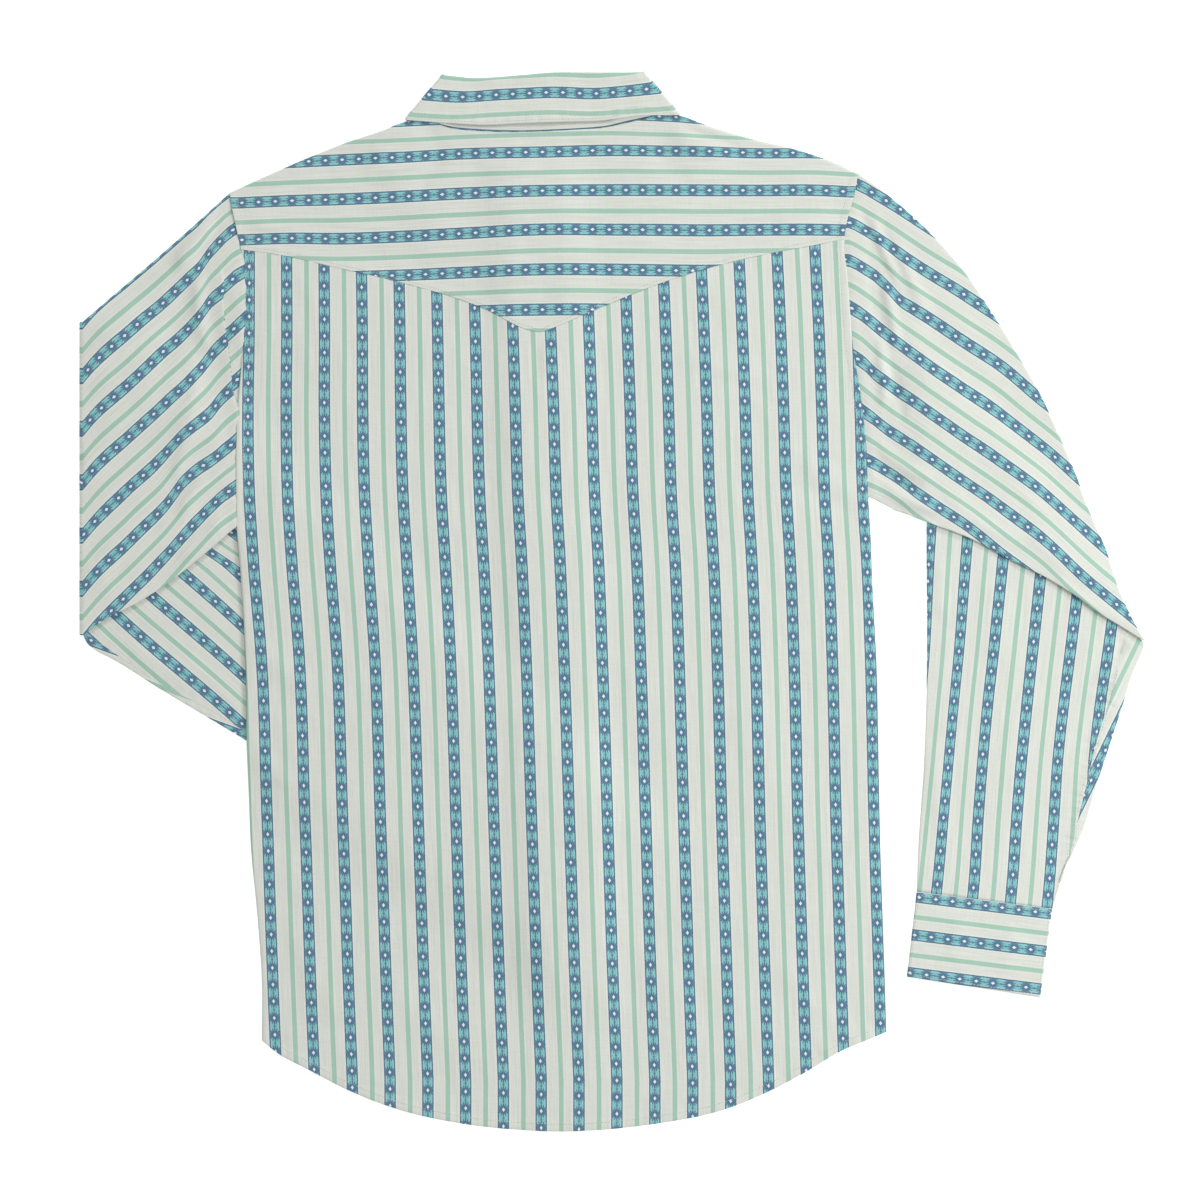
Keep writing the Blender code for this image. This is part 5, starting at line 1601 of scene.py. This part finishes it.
def rings(middle, normal, half):
    """Closed rings round a flattened tube: its face on the normal's side, a half circle round the
    last edge, the other face and a half circle round the first edge."""
    half = np.broadcast_to(np.asarray(half, float), middle.shape[:1])[:, None, None]
    first_out = middle[:, 0] - middle[:, 1]
    last_out = middle[:, -1] - middle[:, -2]
    first_out /= np.linalg.norm(first_out, axis=-1, keepdims=True)
    last_out /= np.linalg.norm(last_out, axis=-1, keepdims=True)
    turns = np.radians(np.linspace(0.0, 180.0, ARC + 2)[1:-1])[None, :, None]
    last_arc = np.sin(turns) * last_out[:, None] + np.cos(turns) * normal[:, -1:]
    first_arc = np.sin(turns) * first_out[:, None] - np.cos(turns) * normal[:, :1]
    return np.concatenate(
        [
            middle + half * normal,
            middle[:, -1:] + half * last_arc,
            (middle - half * normal)[:, ::-1],
            middle[:, :1] + half * first_arc,
        ],
        axis=1,
    )


def ring_middles(middle):
    """The middle height beside every point of the rings, in the rings' own order."""
    z = middle[..., 2]
    first, last = np.repeat(z[:, :1], ARC, axis=1), np.repeat(z[:, -1:], ARC, axis=1)
    return np.concatenate([z, last, z[:, ::-1], first], axis=1)


def height_share(shell, middle):
    """0 at and below a tube's middle height, 1 at the top of its upper face."""
    return np.clip((shell[..., 2] - ring_middles(middle)) / SLEEVE_HALF, 0.0, 1.0)


def upper_face(shell, middle, relief):
    """Adds a relief to a tube's upper face, times the square of each point's height share."""
    shell = shell.copy()
    shell[..., 2] += height_share(shell, middle) ** 2 * np.maximum(relief, LOWEST_RELIEF)
    return shell


def tucked(shell, middle, line, way):
    """Slides the upper face of a sleeve under the body's edge, fading out within TUCK_FADE of it."""
    away, _ = near(shell[..., 0], shell[..., 1], line)
    slide = way * TUCK_UNDER * height_share(shell, middle) * shelf(away, 1.0, 0.0, TUCK_FADE)
    shell = shell.copy()
    shell[..., 0] += slide
    return shell


def sleeve_relief(x, y, armhole, tuck, creases, seed):
    """Creases, ripples, and beside the armhole a shelf downwards and gathers."""
    away, _ = near(x, y, armhole)
    relief = crease_height(x, y, creases) + unevenness(x, y, SLEEVE_RIPPLES, seed + 1)
    return relief + shelf(away, *tuck) + pucker(x, y, armhole, SLEEVE_GATHERS, seed)


def pleat_parts(x, y):
    """How far a point lies beyond the small pleat's edge on the body's side, and how much it belongs
    to the cloth under the pleat there and to its fold on the other side, both fading to 0 past the
    pleat's ends."""
    line = np.array(LEFT_PLEAT)
    aside = x - eased(y, line[::-1, 1], line[::-1, 0])
    under = smooth((line[0, 1] - y) / 30.0) * smooth((y - line[-1, 1]) / 12.0)
    (top, top_fade), (foot, foot_fade) = PLEAT_TOP, PLEAT_FOOT
    over = smooth((top - y) / top_fade) * smooth((y - foot) / foot_fade)
    return aside, (aside > 0) * under, (aside <= 0) * over


def left_sleeve_middle():
    """The middle surface of the left sleeve and its normals: the upper sleeve, a half circle round
    the crease and the forearm beneath. Also how far round the crease each row lies, 0 to 1."""
    crease = (LEFT_CREASE_TOP, LEFT_CREASE_FOOT)
    start = LEFT_ARMHOLE[::-1] - (SEAM_GAP, 0.0)
    upper = sleeve_plan(start, crease, LEFT_UPPER_OUTER, LEFT_UPPER_INNER, SLEEVE_GRID, 1.6)
    upper = raised(upper, SLEEVE_HALF + SLEEVE_STEP * left_forearm_bed(upper[..., 0], upper[..., 1]))
    fore_end = (LEFT_FORE_OUTER[-1], LEFT_FORE_INNER[-1])
    fore = sleeve_plan(crease, fore_end, LEFT_FORE_OUTER, LEFT_FORE_INNER, SLEEVE_GRID)
    fore = seamed(fore, past_left_seam)
    fore = raised(fore, SLEEVE_HALF + cuff_rise(fore[..., 0], fore[..., 1], LEFT_CUFF))
    turn = np.radians(np.linspace(0.0, 180.0, 11))[:, None, None]
    around = -np.sin(turn) * np.array([1.0, 0.0, 0.0]) + np.cos(turn) * UP
    bend = (upper[-1] - SLEEVE_STEP / 2 * UP)[None] + SLEEVE_STEP / 2 * around
    middle = np.concatenate([upper[:-1], bend, fore[1:]])
    parts = ((UP, upper[:-1]), (around, bend), (-UP, fore[1:]))
    normal = np.concatenate([np.broadcast_to(way, part.shape) for way, part in parts])
    ends = np.zeros(len(upper) - 1), np.ones(len(fore) - 1)
    return middle, normal, np.concatenate([ends[0], np.linspace(0, 1, len(bend)), ends[1]])


def left_sleeve_stripes(x, y, folded):
    """The upper sleeve's stripes and the forearm's, each carried on round the crease by the length of
    the arc, and blended in the middle of it."""
    radius = SLEEVE_STEP / 2 + SLEEVE_HALF
    bent = radius * np.sin(math.pi * folded)
    upper = left_sleeve_weave(x + bent - radius * math.pi * folded, y)
    fore = left_forearm_weave(x + bent - radius * math.pi * (1 - folded), y)
    on_fore = smooth(2 * folded - 1)
    return tuple(upper[k] * (1 - on_fore) + fore[k] * on_fore for k in (0, 1))


def sleeve_left():
    """Rings round the left sleeve's middle surface, with the relief of its upper face and a pleat
    beside the armhole: a bell that stands up on one side of its edge and laps over a dip on the
    other. The forearm under the body has a relief of its own."""
    middle, normal, folded = left_sleeve_middle()
    folded = folded[:, None]
    shell = rings(middle, normal, SLEEVE_HALF)
    x, y = shell[..., 0], shell[..., 1]
    weave = left_sleeve_stripes(x, y, folded)
    aside, under, over = pleat_parts(x, y)
    flat, slope = PLEAT_SLOPE
    pleat = PLEAT_RISE * over * np.exp(-((aside / PLEAT_WIDTH) ** 2))
    pleat = pleat - under * shelf(aside, PLEAT_DIP, flat, slope)
    relief = sleeve_relief(x, y, LEFT_ARMHOLE, LEFT_TUCK, LEFT_SLEEVE_CREASES, 41) + pleat
    fore_relief = crease_height(x, y, LEFT_FOREARM_CREASES) + 0.3 * unevenness(x, y, SLEEVE_RIPPLES, 43)
    fore_relief = fore_relief + pucker(x, y, LEFT_SEAM, LEFT_SEAM_GATHERS, 44)
    relief = relief * (folded <= 0) + np.clip(fore_relief, *LEFT_FORE_RELIEF) * (folded >= 1)
    shell = upper_face(tucked(shell, middle, LEFT_ARMHOLE, 1.0), middle, relief)
    lap = PLEAT_LAP * (over - under) * np.exp(-((aside / PLEAT_LAP_WIDTH) ** 2)) * (folded <= 0)
    shell[..., 0] += lap * (shell[..., 2] > ring_middles(middle))
    piece = cloth("sleeve_left_cloth", shell, weave, "sleeve_left", None, ring=True)


def sleeve_right_upper():
    """Rings round the right upper sleeve, whose last rows close it along the elbow's fold: the half
    height there is SLEEVE_HALF sin t and the inset SLEEVE_HALF (1 - cos t)."""
    start = RIGHT_ARMHOLE[::-1] + (SEAM_GAP, 0.0)
    plan = sleeve_plan(start, RIGHT_FOLD, RIGHT_UPPER_OUTER, RIGHT_UPPER_INNER, RIGHT_UPPER_GRID, 1.3)
    last = plan[-1]
    inward = plan[-2] - last
    inward /= np.linalg.norm(inward, axis=-1, keepdims=True)
    turn = np.radians(np.linspace(90.0, 4.0, 8))
    insets = SLEEVE_HALF * (1 - np.cos(turn))
    rows = np.concatenate([plan[:-2], last[None] + inward[None] * insets[:, None, None]])
    halves = np.concatenate([np.full(len(plan) - 2, SLEEVE_HALF), SLEEVE_HALF * np.sin(turn)])
    middle = raised(rows, SLEEVE_HALF + SLEEVE_STEP * right_forearm_bed(rows[..., 0], rows[..., 1]))
    shell = rings(middle, np.broadcast_to(UP, middle.shape), halves)
    x, y = shell[..., 0], shell[..., 1]
    relief = sleeve_relief(x, y, RIGHT_ARMHOLE, RIGHT_TUCK, RIGHT_SLEEVE_CREASES, 51)
    shell = upper_face(tucked(shell, middle, RIGHT_ARMHOLE, -1.0), middle, relief)
    weave = right_sleeve_weave(x, y)
    piece = cloth("sleeve_right_upper_cloth", shell, weave, "sleeve_right_upper", None, ring=True)


def right_lower_relief(x, y):
    """Creases and ripples of the right forearm, and beside its seam a shelf and gathers."""
    away, _ = near(x, y, RIGHT_SEAM)
    relief = crease_height(x, y, RIGHT_FOREARM_CREASES) + 0.7 * unevenness(x, y, SLEEVE_RIPPLES, 62)
    return relief + shelf(away, *FOREARM_FOLD) + pucker(x, y, RIGHT_SEAM, RIGHT_SEAM_GATHERS, 61)


def sleeve_right_lower():
    """Rings round the right forearm, with less relief where the upper sleeve lies on it."""
    stop = (RIGHT_FORE_OUTER[-1], RIGHT_FORE_INNER[-1])
    plan = sleeve_plan(RIGHT_FORE_START, stop, RIGHT_FORE_OUTER, RIGHT_FORE_INNER, RIGHT_LOWER_GRID)
    plan = seamed(plan, past_right_seam)
    middle = raised(plan, SLEEVE_HALF + cuff_rise(plan[..., 0], plan[..., 1], RIGHT_CUFF))
    shell = rings(middle, np.broadcast_to(UP, middle.shape), SLEEVE_HALF)
    x, y = shell[..., 0], shell[..., 1]
    relief = right_lower_relief(x, y)
    free = -beyond(x, y, RIGHT_FOLD[0], RIGHT_FOLD[-1])
    relief = np.where(free < 0, relief, np.clip(relief, *UNDER_ELBOW_RELIEF))
    weave = right_forearm_weave(x, y)
    shell = upper_face(shell, middle, relief)
    piece = cloth("sleeve_right_lower_cloth", shell, weave, "sleeve_right_lower", None, ring=True)


def cuff_relief(x, y, creases):
    """Creases, a ripple and the fullness of a cuff."""
    return crease_height(x, y, creases) + unevenness(x, y, CUFF_RIPPLES, 71) + CUFF_FULLNESS


def cuff(name, node, corners, creases):
    """Rings from a cuff's seam to its free edge, a little fuller than the sleeve that it ends."""
    seam, free = corners[:2], corners[2:]
    plan = sleeve_plan(seam, free, (seam[0], free[0]), (seam[1], free[1]), CUFF_GRID)
    middle = raised(plan, SLEEVE_HALF + cuff_rise(plan[..., 0], plan[..., 1], corners))
    shell = rings(middle, np.broadcast_to(UP, middle.shape), SLEEVE_HALF)
    x, y = shell[..., 0], shell[..., 1]
    shell = upper_face(shell, middle, cuff_relief(x, y, creases))
    piece = cloth(name, shell, cuff_weave(x, y, corners), node, None, ring=True, wall=CUFF_SHELL)


# Stitches ---------------------------------------------
STITCH_PITCH = 2.7
STITCH_LENGTH = 2.0
STITCH_WIDTH = 0.42
STITCH_HEIGHT = 0.24
STITCH_SINK = 0.02
STITCH_RING = ((0.5, 0.1), (0.0, 1.0), (-0.5, 0.1), (0.0, -0.4))  # across and up, as shares
STITCH_SHAPE = (
    (-0.5, 0, -0.3),
    *((-0.28, *place) for place in STITCH_RING),
    *((0.28, *place) for place in STITCH_RING),
    (0.5, 0, -0.3),
)
NEXT = ((0, 1), (1, 2), (2, 3), (3, 0))  # neighbours in a ring of four points
STITCH_ENDS = [(0, 1 + after, 1 + k) for k, after in NEXT] + [(9, 5 + k, 5 + after) for k, after in NEXT]
STITCH_SIDES = [(1 + k, 1 + after, 5 + after, 5 + k) for k, after in NEXT]
HEADING_REACH, SLOPE_REACH = 0.2, 0.6  # distances over which a row's heading and slope are taken
LEAF_ROWS_AT = (2.2, 7)  # distances of the leaf's stitched rows from its edge


def at_reach(values, reach, at):
    """The values of each column at some distances along a line."""
    return np.stack([np.interp(at, reach, column) for column in np.transpose(values)], axis=1)


def resampled(line):
    """Points every STITCH_PITCH along a polyline, with the direction and the distance there."""
    line = np.asarray(line, float)
    reach = lengths_along(line)
    at = np.arange(0.0, reach[-1], STITCH_PITCH)
    heading = at_reach(line, reach, at + HEADING_REACH) - at_reach(line, reach, at - HEADING_REACH)
    heading /= np.linalg.norm(heading, axis=1, keepdims=True) + 1e-9
    return at_reach(line, reach, at), heading, at


def stitch_points(places, heading, up):
    """One small spindle for each stitch: two poles and two rings of four points, each point at
    place + heading a + aside b + up c with the shares (a, b, c) of STITCH_SHAPE."""
    aside = np.cross(up, heading)
    aside /= np.linalg.norm(aside, axis=1, keepdims=True)
    shape = np.array(STITCH_SHAPE) * (STITCH_LENGTH, STITCH_WIDTH, STITCH_HEIGHT)
    ways = np.stack([heading, aside, up], axis=1)
    return places[:, None] + shape @ ways


def sewn(name, rows):
    """Joined stitches along rows of (places, heading, up)."""
    blocks = np.concatenate([stitch_points(*row) for row in rows])
    firsts = np.arange(len(blocks))[:, None, None] * blocks.shape[1]
    faces = []
    for part in (STITCH_ENDS, STITCH_SIDES):
        faces += (np.array(part)[None] + firsts).reshape(-1, len(part[0])).tolist()
    add_mesh(name, blocks, faces, [STITCH])


def on_surface(line, top):
    """A row of stitches on a height over x and y, which it follows up and down."""
    places, heading, _ = resampled(line)
    (x, y), (dx, dy) = places.T, heading.T
    z = top(x, y)
    climb = (top(x + dx * SLOPE_REACH, y + dy * SLOPE_REACH) - z) / SLOPE_REACH
    heading = np.concatenate([heading, climb[:, None]], axis=1)
    heading /= np.linalg.norm(heading, axis=1, keepdims=True)
    return np.concatenate([places, z[:, None]], axis=1), heading, np.broadcast_to(UP, heading.shape)


def armhole_top(x, y):
    """The yoke's surface above its seam and the back's below it."""
    return np.where(y > yoke_seam_height(x), yoke_top(x, y), back_top(x, y))


def right_lower_top(x, y):
    """The right forearm's upper face."""
    return 2 * SLEEVE_HALF + cuff_rise(x, y, RIGHT_CUFF) + right_lower_relief(x, y)


def right_cuff_top(x, y):
    """The right cuff's upper face."""
    return 2 * SLEEVE_HALF + cuff_rise(x, y, RIGHT_CUFF) + cuff_relief(x, y, CUFF_CREASES)


def cuff_line(corners, inset):
    """A closed line round a cuff, inset from its edges."""
    first, second, third, fourth = np.array(corners)
    across, down = second - first, third - first
    across, down = across / np.linalg.norm(across), down / np.linalg.norm(down)
    corner = first + (across + down) * inset
    line = [corner, second + (down - across) * inset, fourth - (across + down) * inset]
    return np.array([*line, third + (across - down) * inset, corner])


def seam_stitches():
    """Rows on the yoke's edge, along the armholes and the hem, beside the right forearm's seam and
    round the right cuff."""
    sewn("stitches_yoke", [on_surface(shifted(YOKE_LINE, 1.6), yoke_top)])
    left = on_surface(shifted(side_line(0, 64.0, 322.0), -5.6), armhole_top)
    right = on_surface(shifted(side_line(1, 88.0, 338.0), 5.6), armhole_top)
    sewn("stitches_armholes", [left, right])
    sewn("stitches_hem", [on_surface(shifted(HEM_LINE[2:-2], HEM_FOLD[1] - 1.0), back_top)])
    seam = np.array(RIGHT_SEAM[2:])
    rows = [on_surface(shifted(seam, distance), right_lower_top) for distance in (1.2, -2.0)]
    sewn("stitches_forearm", rows)
    sewn("stitches_cuff", [on_surface(cuff_line(RIGHT_CUFF, 2.0), right_cuff_top)])


def leaf_stitches():
    """Two rows of stitches on the leaf's own surface, at fixed distances from its edge."""
    foot, fold, climb, outward, turn = collar_frames(collar_stations(COLLAR_EDGE), LEAF_FINE)
    length = np.linalg.norm(fold - foot, axis=1)
    along = leaf_along(foot, turn)
    rows = []
    for inset in LEAF_ROWS_AT:
        rise = leaf_rise(foot[:, 0] + climb[:, 0] * inset, along, inset, length, turn)
        line = leaf_point(foot, climb, outward, inset, LEAF_TURN + PLY / 2 + rise + STITCH_SINK)
        places, heading, at = resampled(line)
        up = at_reach(outward, lengths_along(line), at)
        up /= np.linalg.norm(up, axis=1, keepdims=True)
        rows.append((places, heading, up))
    sewn("stitches_collar", rows)


# Snaps ------------------------------------------------
SNAP_PROFILE = (
    # radius, height down from the cloth, as shares of the snap: the pearl cap, then its metal rim
    (0, 0.98), (0.25, 0.97), (0.5, 0.9), (0.68, 0.78), (0.76, 0.66), (0.8, 0.86),
    (0.88, 0.92), (0.96, 0.84), (1, 0.6), (1, 0.2), (0.9, 0), (0, 0),
)
CAP_ROWS = 5  # so many of the profile's points belong to the cap
SNAP_SIDES = 36


def turned(profile, radius, height, centre, top):
    """Points and faces of a profile carried round a vertical line through centre, hanging down from
    top: the point of row k at angle t is centre + radius r_k (cos t, sin t), height h_k below top.
    The profile's two ends lie on the line, and a fan of triangles closes the mesh at each."""
    profile = np.array(profile) * (radius, height)
    angle = np.linspace(0, 2 * math.pi, SNAP_SIDES, endpoint=False)
    reach, depth = profile[1:-1, :1], profile[1:-1, 1:]
    x, y = centre[0] + reach * np.cos(angle), centre[1] + reach * np.sin(angle)
    rings = np.stack([x, y, np.broadcast_to(top - depth, x.shape)], axis=-1)
    ends = [(centre[0], centre[1], top - profile[end, 1]) for end in (0, -1)]
    points = np.concatenate([rings.reshape(-1, 3), ends])
    quads = grid_quads(*rings.shape[:2], ring=True)
    this = np.arange(SNAP_SIDES)
    following = (this + 1) % SNAP_SIDES
    last = rings.shape[1] * (rings.shape[0] - 1)
    first_fan = np.stack([np.full(SNAP_SIDES, len(points) - 2), following, this], axis=1)
    last_fan = np.stack([last + this, last + following, np.full(SNAP_SIDES, len(points) - 1)], axis=1)
    return points, first_fan.tolist() + quads.tolist() + last_fan.tolist()


def snaps():
    """A pearl cap in a metal rim in the box of each snap's solid."""
    for node in sorted(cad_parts):
        if not node.startswith("snap_"):
            continue
        low, high = (np.array(corner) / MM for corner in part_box(node))
        middle, size = (low + high) / 2, high - low
        points, faces = turned(SNAP_PROFILE, size[0] / 2, size[2], middle, high[2])
        piece = add_mesh(node + "_cap", points, faces, [PEARL, METAL])
        in_rim = np.arange(len(faces)) >= SNAP_SIDES * (CAP_ROWS - 1)
        piece.data.polygons.foreach_set("material_index", in_rim.astype(np.int32))
        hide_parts(node)


# Stage ------------------------------------------------
VIEW_WIDTH = 960.0  # what the picture takes in, at the surface
VIEW_CENTRE = (-10.4, 1.2)
CAMERA_HEIGHT = 4200.0
SENSOR = 36.0


FLOOR_HALF, FLOOR_DEPTH = 6000.0, -0.15  # its half width, and its height just below the shirt


def floor():
    """A pale plain surface, which glows a little so that it stays as white as the photograph's."""
    half = FLOOR_HALF
    corners = np.array([(-half, -half), (half, -half), (half, half), (-half, half)])
    mesh = bpy.data.meshes.new("floor")
    points = np.concatenate([corners, np.full((4, 1), FLOOR_DEPTH)], axis=1) * MM
    mesh.from_pydata(points.tolist(), [], [(0, 1, 2, 3)])
    made = Nodes("pale_floor")
    place = made.add("ShaderNodeTexCoord").outputs["Object"]
    tone = made.mix(made.noise(place, 3.0, 2.0), FLOOR_SHADE, FLOOR_PALE)
    made.feed(made.shader.inputs["Base Color"], tone)
    made.shader.inputs["Emission Color"].default_value = (1.0, 1.0, 1.0, 1.0)
    made.shader.inputs["Emission Strength"].default_value = 0.5
    made.shader.inputs["Roughness"].default_value = 0.9
    made.shader.inputs["Specular IOR Level"].default_value = 0.0
    mesh.materials.append(made.material)
    piece = bpy.data.objects.new("floor", mesh)
    bpy.context.scene.collection.objects.link(piece)


def area_light(name, place, width, power):
    """A square light, in metres and watts, that shines towards the middle of the shirt."""
    light = bpy.data.lights.new(name, "AREA")
    light.size = width
    light.energy = power
    lamp = bpy.data.objects.new(name, light)
    bpy.context.scene.collection.objects.link(lamp)
    lamp.location = place
    lamp.rotation_mode = "QUATERNION"
    lamp.rotation_quaternion = lamp.location.to_track_quat("Z", "Y")


def studio():
    """Even light from all sides, with a soft light from the right and one from above the collar."""
    area_light("right_light", (2.0, 0.0, 1.5), 0.7, 32.0)
    area_light("upper_light", (0.4, 4.6, 3.0), 0.8, 76.0)
    world = bpy.data.worlds.new("studio")
    bpy.context.scene.world = world
    world.use_nodes = True
    backdrop = world.node_tree.nodes["Background"]
    backdrop.inputs["Color"].default_value = (1.0, 1.0, 1.0, 1.0)
    backdrop.inputs["Strength"].default_value = 0.58
    bpy.context.scene.view_settings.view_transform = "Standard"


def camera():
    """A camera straight above the shirt, so far away that it sees it almost without perspective."""
    data = bpy.data.cameras.new("camera")
    data.sensor_width = SENSOR
    data.lens = SENSOR * CAMERA_HEIGHT / VIEW_WIDTH
    data.clip_end = 50.0
    piece = bpy.data.objects.new("camera", data)
    bpy.context.scene.collection.objects.link(piece)
    piece.location = (VIEW_CENTRE[0] * MM, VIEW_CENTRE[1] * MM, CAMERA_HEIGHT * MM)
    bpy.context.scene.camera = piece


def main():
    """The stage, the cloth from the fronts up, the stitches and the snaps."""
    floor()
    studio()
    camera()
    front("front_left_cloth", "front_left", 0.0, LEFT_BAND_EDGE, 0, LEFT_ARMPIT, outer_front_floor)
    front("front_right_cloth", "front_right", RIGHT_BAND_EDGE, 1.0, 1, RIGHT_ARMPIT, inner_front_floor)
    front_band("front_band_left_cloth", "front_band_left", outer_front_floor)
    front_band("front_band_right_cloth", "front_band_right", inner_front_floor)
    back_panel()
    back_yoke()
    collar_stand()
    collar_leaf()
    sleeve_right_lower()
    sleeve_right_upper()
    sleeve_left()
    cuff("cuff_left_cloth", "cuff_left", LEFT_CUFF, NO_CREASES)
    cuff("cuff_right_cloth", "cuff_right", RIGHT_CUFF, CUFF_CREASES)
    seam_stitches()
    leaf_stitches()
    snaps()


main()
